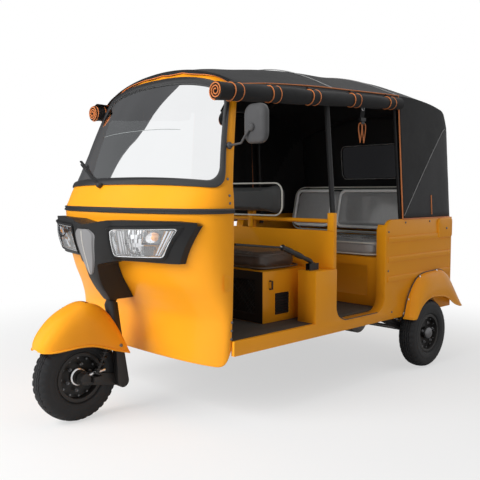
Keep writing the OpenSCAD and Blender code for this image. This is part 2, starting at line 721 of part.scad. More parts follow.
// Tubes of the hood: posts, side rails and bows
module hood_frame() {
    post_y = door_y + tube_r + lie;
    rail_a = hood_y + 45;
    wall = side_t + tube_r + lie;
    function rail_at(y) =
        let (u = hood_share(y))
        [hood_half(u) + roll_out - roll_r - tube_r - 3, y, hood_eave(u) - tube_r - 8];
    color(black) {
        for (s = [-1, 1]) mirror([s < 0 ? 1 : 0, 0, 0]) {
            rod(rail_at(rail_a), rail_at(post_y), tube_r);
            rod(rail_at(post_y), rail_at(quarter_y + 60), tube_r);
            translate(rail_at(post_y)) sphere(tube_r + 2);
            rod([body_half - wall, post_y, waist_z - 40], rail_at(post_y), tube_r);
            rod([body_half - wall, quarter_y + 40, waist_z - 60], rail_at(quarter_y - 20), tube_r);
        }
        for (y = [post_y, quarter_y - 20]) {
            a = rail_at(y);
            rise = hood_crown(hood_share(y)) - canvas_t - 2 * tube_r - 6 - a[2];
            big = (a[0] * a[0] + rise * rise) / (2 * rise);
            half = asin(a[0] / big);
            translate([0, y, a[2] + rise - big]) rotate([90, 0, 0]) rotate([0, 0, 90 - half])
                rotate_extrude(angle = 2 * half, $fn = 360) translate([big, 0]) circle(tube_r - 2, $fn = 24);
        }
    }
}

// Rolled side curtain under the eave
module roll(side, y0, y1) {
    function at(y, u, out) = [hood_half(u) + out, y, hood_eave(u) - canvas_t - roll_r - 0.5];
    a = at(y0, 0, roll_out + 28);
    b = at(y1, hood_share(y1), roll_out);
    color(black) mirror([side < 0 ? 1 : 0, 0, 0]) {
        rod_taper(a, b, roll_r, roll_r - 8);
        for (f = [0.3, 0.6, 0.9]) {
            c = mix(a, b, f);
            x = hood_half(hood_share(c[1]));
            z = min([for (e = [-1, 1]) hood_eave(hood_share(c[1] + e * strap_w / 2))]) - canvas_t;
            block([x - 10, c[1] - strap_w / 2, c[2] - 5], [x + 14, c[1] + strap_w / 2, z - lie]);
        }
    }
}
module rod_taper(a, b, r1, r2) {
    d = b - a;
    l = norm(d);
    translate(a) rotate([0, acos(d[2] / l), atan2(d[1], d[0])]) cylinder(h = l, r1 = r1, r2 = r2);
}
module curtain_roll_left() {
    roll(1, hood_y - 135, quarter_y - 60);
}
module curtain_roll_right() {
    roll(-1, hood_y - 65, door_y - 20);
}
// Side curtain let down over the right-hand doorway
module side_curtain_right() {
    cols = [for (i = [0:6]) mix(door_y + 30, quarter_y - 78, i / 6)];
    rows = [for (i = [0:4]) i / 4];
    function at(y, v, off) =
        let (u = hood_share(y), x = mix(body_half + 8, hood_half(u) - 4, v))
        [-x + off, y, mix(waist_z - 40, hood_eave(u) - canvas_t - 0.5, v)];
    color(black) sheet([for (v = rows) [for (y = cols) at(y, v, 0)]],
        [for (v = rows) [for (y = cols) at(y, v, canvas_t)]]);
}

// Rear-view mirror on its arm
module mirror_unit() {
    base = cowl_at(1.44, 88, 0);
    head = [mirror_reach - 62, base[1] - 30, belt_z + 363];
    color(black) {
        rod(base + [1, 0, 0], [head[0] - 40, head[1], head[2] - 60], 7);
        translate(head) rotate([90, 0, 0]) linear_extrude(30, center = true)
            offset(r = 24) square([76, 116], center = true);
    }
}

// Rear fender: arch at the body and lip outside, both from the rear axle
fender_inner = [[0, -206, 106], [0.15, -153, 239], [0.35, -45, 341], [0.55, 117, 361], [0.75, 239, 348],
    [0.9, 330, 247], [1, 407, 125]];
fender_outer = [[0, -180, 106], [0.15, -115, 180], [0.35, -21, 220], [0.55, 85, 218], [0.75, 180, 200],
    [0.9, 270, 150], [1, 352, 125]];
function rear_fender_at(a, v, off) =
    let (in_x = body_half + rib_proud + lie, c = [90, 60])
    let (p = [curve(fender_inner, a, 1), curve(fender_inner, a, 2)])
    let (q = [curve(fender_outer, a, 1), curve(fender_outer, a, 2)])
    let (m = mix(p, q, 1 - cos(90 * v)), d = m - c, e = c + d * (1 - off / norm(d)))
    [mix(in_x, fender_half - off, sin(90 * v)),
     min(rear_axle_y + e[0], overall_len / 2 - (off > 0 ? off : 0)), tyre_r + e[1]];
module rear_fender(side) {
    shares = [for (i = [0:20]) i / 20];
    across = [for (i = [0:6]) i / 6];
    color(yellow) mirror([side < 0 ? 1 : 0, 0, 0])
        sheet([for (a = shares) [for (v = across) rear_fender_at(a, v, 0)]],
            [for (a = shares) [for (v = across) rear_fender_at(a, v, rear_fender_t)]]);
}

// Trailing arms that carry the rear hubs
module swing_arms() {
    pivot = [arm_x, rear_axle_y - 330, rail_top - 40];
    color(black) for (s = [-1, 1]) mirror([s < 0 ? 1 : 0, 0, 0]) {
        rod(pivot + [-(arm_x - rail_x - rail_w / 2), 0, 0], pivot + [20, 0, 0], 22);
        rod(pivot, [arm_x, rear_axle_y, tyre_r], 24);
        block([arm_x - 70, rear_axle_y - 104, spring_z - 26], [arm_x + 4, rear_axle_y - 36, spring_z - lie]);
        rod([arm_x - 20, rear_axle_y, tyre_r], [arm_x + 30, rear_axle_y, tyre_r], 40);
        rod([arm_x + 29, rear_axle_y, tyre_r], [wheel_x + 46, rear_axle_y, tyre_r], rear_axle_r);
    }
}
module rear_springs() {
    color(black) for (s = [-1, 1])
        translate([s * (arm_x - 34), rear_axle_y - 70, spring_z]) {
            coil(26, 5, rail_top - 20 - spring_z - lie, 4);
            cylinder(h = rail_top - 20 - spring_z - lie, r = 12);
            cylinder(h = 6, r = 30);
        }
}
// Motor and gear case on the rear axle line
module drive_unit() {
    color(grey) {
        rod([-150, rear_axle_y, tyre_r + 20], [150, rear_axle_y, tyre_r + 20], 95);
        block([-70, rear_axle_y - 120, tyre_r - 10], [70, rear_axle_y + 30, rail_top - rail_h + 20]);
        rod([24 + lie - arm_x, rear_axle_y, tyre_r], [arm_x - 24 - lie, rear_axle_y, tyre_r], rear_axle_r - 2);
    }
}

// Hand lever beside the driver
module hand_lever() {
    x = pillar_in + 60;
    color(black) {
        rod([x, pillar_y + 60, pillar_z + 9], [x, pillar_y + 20, pillar_z + 50], 12);
        rod([x, pillar_y + 20, pillar_z + 50], [x, pillar_y - 190, pillar_z + 130], 14);
        rod([x, pillar_y - 180, pillar_z + 126], [x, cowl_rear_y + 60, pillar_z + 160], 6);
    }
}

// Holes for the plate's bolts, through the bracket and the tail panel
module plate_holes() {
    for (s = [-1, 1])
        translate([s * plate_pitch / 2, tail_y - side_t - 5, sill_z + 140]) rotate([-90, 0, 0])
            cylinder(h = side_t + 20, r = plate_hole_r);
}
// Towing eye and plate bracket at the tail
module tow_bracket() {
    z = rail_top - rail_h + 2;
    color(black) {
        difference() {
            union() {
                block([-tow_r, tail_y - 30 + lie, z], [tow_r, overall_len / 2 - tow_r, z + 12]);
                translate([0, overall_len / 2 - tow_r, z]) cylinder(h = 12, r = tow_r);
            }
            translate([0, overall_len / 2 - tow_r, z - 5]) cylinder(h = 30, r = tow_hole_r);
        }
        difference() {
            block([-plate_pitch / 2 - 40, tail_y + lie, sill_z + 90], [plate_pitch / 2 + 40, tail_y + 5, sill_z + 190]);
            plate_holes();
        }
    }
}

// Steering stem, crown and the leg on the left of the wheel
module fork_crown(g) {
    hull() {
        along_stem() translate([0, 0, stem_low - 4 - g]) cylinder(h = 30 + 2 * g, r = stem_r + 8 + g, $fn = 24);
        block([leg_x - g, leg_y - 38 - g, tyre_r + 135 - g], [leg_x + leg_t + g, leg_y - 4 + g, tyre_r + 160 + g]);
    }
}
module fork() {
    color(black) {
        along_stem() translate([0, 0, stem_low]) cylinder(h = stem_top - stem_low, r = stem_r);
        fork_crown(0);
        block([leg_x, leg_y - 82, tyre_r + 168 + spring_drop + lie], [leg_x + leg_t, leg_y - 22, tyre_r + 182]);
        hull() {
            block([leg_x, leg_y - 38, tyre_r + 135], [leg_x + leg_t, leg_y - 4, tyre_r + 160]);
            translate([leg_x, leg_y, leg_z]) rotate([0, 90, 0]) cylinder(h = leg_t, r = 30, $fn = 24);
        }
    }
}

// Leading link with the stub axle
module link_arm() {
    pivot = [link_x, leg_y, leg_z];
    hub = [link_x, front_axle_y, tyre_r];
    color(steel) {
        hull() {
            translate(pivot + [-2.4, 0, 0]) rotate([0, 90, 0]) cylinder(h = 3.4, r = 26, $fn = 24);
            translate(hub + [-2.4, 0, 0]) rotate([0, 90, 0]) cylinder(h = 3.4, r = 30, $fn = 24);
        }
        rod(hub + [0, 0, 0], hub + [link_t + 8, 0, 0], 26);
        block(hub + [0, 36, -22], hub + [40, 84, 12 - spring_drop - lie]);
        rod(hub + [-link_x - 44, 0, 0], hub + [2, 0, 0], front_axle_r);
    }
}
module front_spring() {
    low = [link_x + 22, front_axle_y + 60, tyre_r + 12];
    top = [link_x + 22, leg_y - 60, tyre_r + 168];
    d = top - low;
    l = norm(d);
    color(black) translate(low) rotate([0, acos(d[2] / l), atan2(d[1], d[0])]) {
        cylinder(h = l, r = 7);
        coil(15, 4, l, 6);
        cylinder(h = 6, r = 18);
        translate([0, 0, l - 6]) cylinder(h = 6, r = 18);
    }
}

// Front fender: distance behind the nose, top and lower heights over the axle, half width
FTOP = 1;
FLOW = 2;
FHALF = 3;
front_fender_form = [[0, 152, 146, 22], [14, 190, 145, 56], [45, 234, 144, 82], [100, 286, 148, 100],
    [170, 324, 152, 108], [230, 340, 146, 111], [290, 326, 128, 112], [340, 286, 110, 111],
    [382, 220, 98, 110], [408, 156, 92, 109], [424, 100, 88, 108]];
function front_fender_at(d, k, off) =
    let (half = curve(front_fender_form, d, FHALF) - off)
    let (top = curve(front_fender_form, d, FTOP) - off, low = curve(front_fender_form, d, FLOW))
    [half * sign(k) * power(sin(90 * abs(k)), 0.72), fender_nose_y + d + (d < 1 ? off : d > 420 ? -off : 0),
     tyre_r + mix(low, max(top, low + 2), power(cos(90 * abs(k)), 0.72))];
module front_fender() {
    stations = [0, 6, 14, 28, 45, 70, 100, 135, 170, 200, 230, 260, 290, 315, 340, 362, 382, 396, 408, 417, 424];
    across = [for (i = [-8:8]) i / 8];
    color(yellow) difference() {
        sheet([for (d = stations) [for (k = across) front_fender_at(d, k, 0)]],
            [for (d = stations) [for (k = across) front_fender_at(d, k, front_fender_t)]]);
        fork_crown(0.8);
    }
}

// Handlebar with its grips
module handlebar() {
    color(black) along_stem() difference() {
        union() {
            translate([0, 0, stem_top - 55]) cylinder(h = 64, r = stem_r + 10);
            rod([-bar_half * 0.55, 30, stem_top + 30], [bar_half * 0.55, 30, stem_top + 30], 13);
            for (s = [-1, 1]) {
                rod([0, 0, stem_top - 16], [s * 60, 30, stem_top + 30], 14);
                rod([s * bar_half * 0.54, 30, stem_top + 30], [s * bar_half * 0.75, 90, stem_top + 30], 13);
                rod([s * bar_half * 0.74, 86, stem_top + 30], [s * bar_half, 190, stem_top + 24], 17);
            }
        }
        translate([0, 0, stem_top - 100]) cylinder(h = 100 + lie, r = stem_r + lie);
    }
}

// Wheels, turned about X, centred on their own axle
tyre_form = [[rim_r - 10 + lie, 38 - lie], [rim_r + lie, 38 - lie], [rim_r + 6, 47], [rim_r + 36, 0.5 * tyre_w], [tyre_r - 22, 0.47 * tyre_w],
    [tyre_r - 8, 0.36 * tyre_w], [tyre_r, 0.20 * tyre_w]];
module tyre() {
    color(black) rotate([0, 90, 0]) rotate_extrude($fn = 64) polygon(concat(
        [for (p = tyre_form) [p[0], p[1]]],
        [for (i = [len(tyre_form) - 1:-1:0]) [tyre_form[i][0], -tyre_form[i][1]]]));
}
module rim(bore) {
    color(black) rotate([0, 90, 0]) rotate_extrude($fn = 64) {
        translate([bore, -40]) square([34 - bore, 80]);
        translate([33, 0]) square([rim_r - 44, 6]);
        translate([rim_r - 17, -42]) square([7, 84]);
        translate([rim_r - 17, 38]) square([17, 4]);
        translate([rim_r - 17, -42]) square([17, 4]);
        translate([64, -40]) square([8, 42]);
        translate([33, -40]) square([32, 5]);
    }
}
module front_tyre() { translate([0, front_axle_y, tyre_r]) tyre(); }
module front_rim() { translate([0, front_axle_y, tyre_r]) rim(front_axle_r + hub_gap); }
module rear_tyre(side) { translate([side * wheel_x, rear_axle_y, tyre_r]) tyre(); }
module rear_rim(side) {
    translate([side * wheel_x, rear_axle_y, tyre_r]) mirror([side < 0 ? 1 : 0, 0, 0]) rim(rear_axle_r + hub_gap);
}

module side_panel_left() { side_panel(1); }
module side_panel_right() { side_panel(-1); }
module rear_fender_left() { rear_fender(1); }
module rear_fender_right() { rear_fender(-1); }
module rear_tyre_left() { rear_tyre(1); }
module rear_tyre_right() { rear_tyre(-1); }
module rear_rim_left() { rear_rim(1); }
module rear_rim_right() { rear_rim(-1); }

placed() chassis_frame();
placed() floor_pan();
placed() front_cowl();
placed() windscreen_frame();
placed() belt_strip();
placed() windscreen_glass();
placed() windscreen_seal();
placed() lamp_fascia();
placed() nose_panel();
placed() headlamps();
placed() lamp_lenses();
placed() wiper();
placed() dash_panel();
placed() side_panel_left();
placed() side_panel_right();
placed() partition();
placed() driver_seat_box();
placed() battery_pack();
placed() driver_seat();
placed() driver_backrest();
placed() rear_seat_base();
placed() rear_seat();
placed() rear_backrest();
placed() tail_panel();
placed() tail_lamps();
placed() hood_roof();
placed() hood_rear();
placed() hood_back();
placed() rear_window();
placed() hood_frame();
placed() curtain_roll_left();
placed() curtain_roll_right();
placed() side_curtain_right();
placed() mirror_unit();
placed() rear_fender_left();
placed() rear_fender_right();
placed() swing_arms();
placed() rear_springs();
placed() drive_unit();
placed() hand_lever();
placed() tow_bracket();
placed() fork();
placed() link_arm();
placed() front_spring();
placed() front_fender();
placed() handlebar();
placed() front_tyre();
placed() front_rim();
placed() rear_tyre_left();
placed() rear_rim_left();
placed() rear_tyre_right();
placed() rear_rim_right();
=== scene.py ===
"""Studio scene of the passenger three-wheeler: finishes, canvas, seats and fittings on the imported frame."""

import math

import bmesh
import bpy
from mathutils import Matrix, Vector, noise


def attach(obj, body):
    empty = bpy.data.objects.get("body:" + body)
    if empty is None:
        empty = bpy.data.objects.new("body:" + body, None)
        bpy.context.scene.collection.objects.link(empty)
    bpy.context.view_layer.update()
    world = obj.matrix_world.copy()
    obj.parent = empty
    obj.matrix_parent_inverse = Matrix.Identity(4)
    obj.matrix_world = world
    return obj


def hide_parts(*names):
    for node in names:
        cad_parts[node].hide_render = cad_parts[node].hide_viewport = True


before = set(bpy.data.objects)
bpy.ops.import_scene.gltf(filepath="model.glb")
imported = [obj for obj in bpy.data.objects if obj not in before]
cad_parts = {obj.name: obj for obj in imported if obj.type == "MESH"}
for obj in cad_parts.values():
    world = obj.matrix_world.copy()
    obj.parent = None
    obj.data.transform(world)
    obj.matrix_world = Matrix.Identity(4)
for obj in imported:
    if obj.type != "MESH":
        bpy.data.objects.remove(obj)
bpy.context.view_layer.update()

bl_info = {
    "name": "Passenger three-wheeler",
    "version": (1, 0, 0),
    "blender": (4, 5, 0),
    "location": "View3D > Sidebar > Three-wheeler",
    "description": "Dresses the packed passenger three-wheeler and lights it",
    "category": "Object",
}

# Places are in metres in the vehicle's own frame: forward is -Y, left is +X and x is 0 on its centre plane.
# MID moves them to the frame's origin, which lies in the middle of the width with the mirror.
MID = Vector((-0.059, 0.0, 0.0))

# Body: half width, rear edge of the front shell, heights, and the places of the pillar, doorway and quarter
BODY_HALF = 0.598
REAR_EDGE = -0.664
BELT_Z = 0.962
FLOOR_Z = 0.388
SILL_Z = 0.322
WAIST_Z = 0.888
PILLAR_Y, PILLAR_Z = -0.104, 0.650
DOOR_Y, DOOR_END_Y, DOOR_Z = 0.064, 0.504, 0.376
QUARTER_Y, TAIL_Y = 0.676, 1.247
TOP_Z = 1.740
SHELL_T, FENDER_T = 0.010, 0.003
# Wheels and steering
FRONT_AXLE = Vector((0.0, -1.097, 0.203))
REAR_AXLE_Y, WHEEL_X = 0.893, 0.612
TYRE_R, TYRE_W, RIM_R = 0.203, 0.104, 0.114
STEM = Vector((0.0, -0.891, 0.540))
STEM_AXIS = Vector((0.0, math.sin(math.radians(25)), math.cos(math.radians(25))))
# Hood and rolled curtains
HOOD_Y = REAR_EDGE + 0.080
HOOD_LEN = TAIL_Y - HOOD_Y
CANVAS = 0.006
ROLL_R = 0.042

# Front shell: level (0 lower edge, 1 belt, 2 header), inset, share of the depth, set back
COWL_DEPTH = 0.275
COWL_N = 2.5
COWL_FORM = (
    (0.00, 0.018, 0.345, 0.000), (0.28, 0.008, 0.345, 0.000), (0.41, 0.006, 0.50, 0.000),
    (0.52, 0.004, 0.69, 0.000), (0.61, 0.002, 0.80, 0.000), (0.75, 0.000, 0.93, 0.000),
    (0.91, 0.000, 0.99, 0.000), (1.00, 0.000, 1.00, 0.000), (1.06, 0.001, 0.92, 0.000),
    (1.13, 0.005, 0.84, 0.002), (1.20, 0.014, 0.764, 0.006), (1.575, 0.053, 0.503, 0.053),
    (1.95, 0.098, 0.236, 0.111), (2.00, 0.112, 0.13, 0.124),
)
# Windscreen opening: levels and the angle that it spans at them
GLASS_LOW, GLASS_TOP = 1.20, 1.94
GLASS_LOW_DEG, GLASS_TOP_DEG = 80.0, 69.5
GLASS_SHARE = 0.84
GLASS_CORNERS, GLASS_STEPS, GLASS_SINK = (0.17, 0.34), 192, -0.004
GLASS_CORE = 0.585

# Lamp fascia: share of the width, lower and upper drop below the belt; drop, share of the reach, beak
FASCIA_REACH = 0.350
FASCIA_FORM = (
    (0.00, 0.430, 0.066), (0.05, 0.424, 0.062), (0.07, 0.340, 0.060), (0.09, 0.248, 0.058),
    (0.25, 0.228, 0.044), (0.50, 0.224, 0.042), (0.80, 0.226, 0.042), (0.925, 0.062, 0.050),
)
FASCIA_FRONT = (
    (0.040, 0.985, 0.040), (0.085, 0.965, 0.046), (0.142, 0.93, 0.054), (0.210, 0.85, 0.066),
    (0.330, 0.69, 0.084), (0.435, 0.57, 0.055),
)
# Headlamp covers: inner and outer end of the lower and upper edge, as x and as drop below the belt
LENS_LOW_X, LENS_TOP_X = (0.150, 0.424), (0.157, 0.504)
LENS_LOW_DROP, LENS_TOP_DROP = (0.209, 0.199), (0.084, 0.071)
LENS_MEAN_DROP, LENS_HEIGHT = 0.204, 0.127

# Hood: share of its length, drop of the crown and of the eaves below the top, inset of the eaves
HOOD_FORM = (
    (0.00, 0.106, 0.217, 0.098), (0.04, 0.092, 0.208, 0.092), (0.12, 0.060, 0.192, 0.080),
    (0.27, 0.028, 0.175, 0.060), (0.43, 0.010, 0.166, 0.040), (0.66, 0.000, 0.156, 0.012),
    (0.76, 0.004, 0.160, 0.004), (0.86, 0.034, 0.174, 0.000), (1.00, 0.120, 0.190, 0.000),
)
HOOD_ROUND = (
    (0.00, 0.000, 0.000, 0.000), (0.55, 0.000, 0.000, 0.000), (0.80, 0.003, 0.015, 0.014),
    (0.92, 0.008, 0.036, 0.044), (1.00, 0.016, 0.110, 0.096),
)
BACK_LEAN, QUARTER_LEAN = 0.12, 0.075
# Seam over the hood's quarters: shares to the back and down the side at its two ends
SEAM_BACK, SEAM_DOWN = (0.03, 0.97), (0.97, 0.10)

# Front fender: distance from its nose, height of the top and of the lower edge over the axle, half width
FENDER_NOSE = FRONT_AXLE.y - 0.198
FRONT_FENDER = (
    (0.000, 0.152, 0.146, 0.022), (0.014, 0.190, 0.145, 0.056), (0.045, 0.234, 0.144, 0.082),
    (0.100, 0.286, 0.148, 0.100), (0.170, 0.324, 0.152, 0.108), (0.230, 0.340, 0.146, 0.111),
    (0.290, 0.326, 0.128, 0.112), (0.340, 0.286, 0.110, 0.111), (0.382, 0.220, 0.098, 0.110),
    (0.408, 0.156, 0.092, 0.109), (0.424, 0.100, 0.088, 0.108),
)
# Rear fenders: share of the way round, place along and above the axle, of the edge on the body and of the lip
FENDER_INNER = (
    (0.00, -0.206, 0.106), (0.15, -0.153, 0.239), (0.35, -0.045, 0.341), (0.55, 0.117, 0.361),
    (0.75, 0.239, 0.348), (0.90, 0.330, 0.247), (1.00, 0.407, 0.125),
)
FENDER_OUTER = (
    (0.00, -0.180, 0.106), (0.15, -0.115, 0.180), (0.35, -0.021, 0.220), (0.55, 0.085, 0.218),
    (0.75, 0.180, 0.200), (0.90, 0.270, 0.150), (1.00, 0.352, 0.125),
)


def mix(a, b, u):
    """The value a share u of the way from a to b."""
    return a + (b - a) * u


def power(a, n):
    """a to the power n, and 0 below 0."""
    return a ** n if a > 0 else 0.0


def curve(table, z, col):
    """Column col of a table, read smoothly at z of its first column."""
    i = 0
    while i < len(table) - 2 and z >= table[i + 1][0]:
        i += 1

    def slope(k):
        a, b = max(k - 1, 0), min(k + 1, len(table) - 1)
        return (table[b][col] - table[a][col]) / (table[b][0] - table[a][0])

    h = table[i + 1][0] - table[i][0]
    u = (z - table[i][0]) / h
    a, b = table[i][col], table[i + 1][col]
    p, q = slope(i) * h, slope(i + 1) * h
    return a + p * u + (3 * (b - a) - 2 * p - q) * u * u + (2 * (a - b) + p + q) * u ** 3


def straight(table, z, col):
    """Column col of a table, read along straight lines."""
    i = 0
    while i < len(table) - 2 and z >= table[i + 1][0]:
        i += 1
    return mix(table[i][col], table[i + 1][col], (z - table[i][0]) / (table[i + 1][0] - table[i][0]))


def span(a, b, n):
    """n + 1 values from a to b."""
    return [mix(a, b, i / n) for i in range(n + 1)]


def around(n):
    """n angles round a circle, in radians."""
    return [2 * math.pi * i / n for i in range(n)]


def cosd(a):
    """Cosine of an angle in degrees."""
    return math.cos(math.radians(a))


def sind(a):
    """Sine of an angle in degrees."""
    return math.sin(math.radians(a))


def ruffle(p, scale, seed=0.0):
    """Smooth noise from -1 to 1 at a place, with lumps of about 1 / scale metres."""
    return noise.noise(Vector((p[0] * scale + seed, p[1] * scale, p[2] * scale)))


def cowl_at(level, turn, off=0.0):
    """Point of the front shell at a level and an angle in plan, off metres outside it."""
    low = SILL_Z - 0.050 + 0.075 * (max(0.0, abs(turn) - 60) / 30) ** 3
    high = 1.505 + 0.113 * power(cosd(turn), 1.4)
    z = mix(low, BELT_Z, level) if level <= 1 else mix(BELT_Z, high, level - 1)
    wide = BODY_HALF - curve(COWL_FORM, level, 1) + off
    deep = COWL_DEPTH * curve(COWL_FORM, level, 2) + off
    side = math.copysign(power(abs(sind(turn)), 2 / COWL_N), turn) if turn else 0.0
    return Vector((wide * side, REAR_EDGE + curve(COWL_FORM, level, 3) - deep * power(cosd(turn), 2 / COWL_N),
                   z))


def screen_turn(level, share):
    """Angle in plan at a share of the windscreen's half width."""
    u = min(1.0, max(0.0, (level - GLASS_LOW) / (GLASS_TOP - GLASS_LOW)))
    wide, a = mix(GLASS_LOW_DEG, GLASS_TOP_DEG, u), abs(share)
    turn = wide * a / GLASS_SHARE if a <= GLASS_SHARE else mix(wide, 90,
                                                               (a - GLASS_SHARE) / (1 - GLASS_SHARE))
    return math.copysign(turn, share)


def screen_at(share, level, off=0.0):
    """Point of the windscreen's surface at a share of its half width and a level."""
    return cowl_at(level, screen_turn(level, share), off)


def cowl_y(x, z):
    """Place along the vehicle of the front shell at x and z."""
    low, high = 0.0, 1.0
    for _ in range(30):
        level = (low + high) / 2
        wide = BODY_HALF - curve(COWL_FORM, level, 1)
        turn = math.degrees(math.asin(min(1.0, abs(x) / wide) ** (COWL_N / 2)))
        low, high = (level, high) if cowl_at(level, turn).z < z else (low, level)
    deep = COWL_DEPTH * curve(COWL_FORM, level, 2)
    return REAR_EDGE + curve(COWL_FORM, level, 3) - deep * power(cosd(turn), 2 / COWL_N)


def fascia_y(x, z):
    """Place along the vehicle of the lamp fascia's front at x and z."""
    drop, plan = BELT_Z - z, 1 - power(abs(x) / BODY_HALF, COWL_N)
    return (REAR_EDGE - FASCIA_REACH * curve(FASCIA_FRONT, drop, 1) * power(plan, 1 / COWL_N)
            - curve(FASCIA_FRONT, drop, 2) * power(1 - (abs(x) / 0.165) ** 2, 0.8))


def lens_at(side, u, v, depth=0.0):
    """Point of a headlamp's cover, u out from its inner end and v up, depth metres behind it."""
    x = mix(mix(*LENS_LOW_X, u), mix(*LENS_TOP_X, u), v)
    z = BELT_Z - mix(mix(*LENS_LOW_DROP, u), mix(*LENS_TOP_DROP, u), v)
    return Vector((side * x, fascia_y(x, z) - 0.008 + depth, z))


def hood_share(y):
    """Share of the hood's length at y."""
    return (y - HOOD_Y) / HOOD_LEN


def hood_crown(u):
    """Height of the hood's crown."""
    return TOP_Z - curve(HOOD_FORM, u, 1)


def hood_eave(u):
    """Height of the hood's eaves."""
    return TOP_Z - curve(HOOD_FORM, u, 2)


def hood_half(u):
    """Half the hood's width at the eaves."""
    return BODY_HALF - curve(HOOD_FORM, u, 3)


def quarter_edge(z):
    """Place of the hood quarter's front edge at a height."""
    return QUARTER_Y - QUARTER_LEAN * (z - WAIST_Z)


def back_edge(z):
    """Place of the hood's back at a height."""
    return TAIL_Y - BACK_LEAN * (z - WAIST_Z)


ROOF_END = hood_share(quarter_edge(1.5))


def rear_at(q, k, side, off=0.0):
    """Point of the hood's rear: share q to the back, k from eave to eave, side from eave to waist."""
    inset = curve(HOOD_ROUND, q, 1)
    u = hood_share(mix(quarter_edge(1.5), back_edge(1.5), q))
    eave, crown = hood_eave(u) - curve(HOOD_ROUND, q, 2), hood_crown(u) - curve(HOOD_ROUND, q, 3)
    half = mix(hood_half(u), BODY_HALF, side) - inset + off
    z = mix(eave, WAIST_Z, side) if side > 0 else mix(eave, crown, power(cosd(90 * k), 2.2))
    return Vector((half * sind(90 * k), mix(quarter_edge(z), back_edge(z), q), z + off * (1 - side)))


def roof_at(r, k, off=0.0):
    """Point of the roof at a share r of the way from its front hem to the quarters, k from eave to eave."""
    u = r * ROOF_END
    bow = mix(1.5, 2.2, min(1.0, u / 0.12))
    z = mix(hood_eave(u), hood_crown(u), power(cosd(90 * k), bow))
    y = mix(HOOD_Y, rear_at(0, k, 0).y, r)
    return Vector(((hood_half(u) + off) * sind(90 * k), y, z + off))


def roll_at(side, s, far_y, radius=0.0, turn=0.0):
    """Point on a rolled curtain: share s of its length, distance from its centre line, angle round it."""
    near, far = HOOD_Y - (0.135 if side > 0 else 0.065), far_y
    u = hood_share(far)
    a = Vector((hood_half(0) + 0.042, near, hood_eave(0) - CANVAS - ROLL_R))
    b = Vector((hood_half(u) + 0.014, far, hood_eave(u) - CANVAS - ROLL_R))
    p = a.lerp(b, s)
    return Vector((side * (p.x + radius * math.cos(turn)), p.y, p.z + radius * math.sin(turn)))


def front_fender_at(d, k, off=0.0):
    """Point of the front fender at a distance from its nose, k from edge to edge over the top."""
    half = curve(FRONT_FENDER, d, 3) + off
    top, low = curve(FRONT_FENDER, d, 1) + off, curve(FRONT_FENDER, d, 2)
    x = half * math.copysign(power(abs(sind(90 * k)), 0.72), k) if k else 0.0
    return Vector((x, FENDER_NOSE + d,
                   FRONT_AXLE.z + mix(low, max(top, low + 0.002), power(cosd(90 * k), 0.72))))


def rear_fender_at(side, a, v, off=0.0):
    """Point of a rear fender: share a of the way round, v from the body to the lip."""
    p = Vector((curve(FENDER_INNER, a, 1), curve(FENDER_INNER, a, 2)))
    q = Vector((curve(FENDER_OUTER, a, 1), curve(FENDER_OUTER, a, 2)))
    m = p.lerp(q, 1 - cosd(90 * v))
    return Vector((side * mix(0.6025, 0.678 + off, sind(90 * v)), min(REAR_AXLE_Y + m.x, 1.300),
                   TYRE_R + m.y))


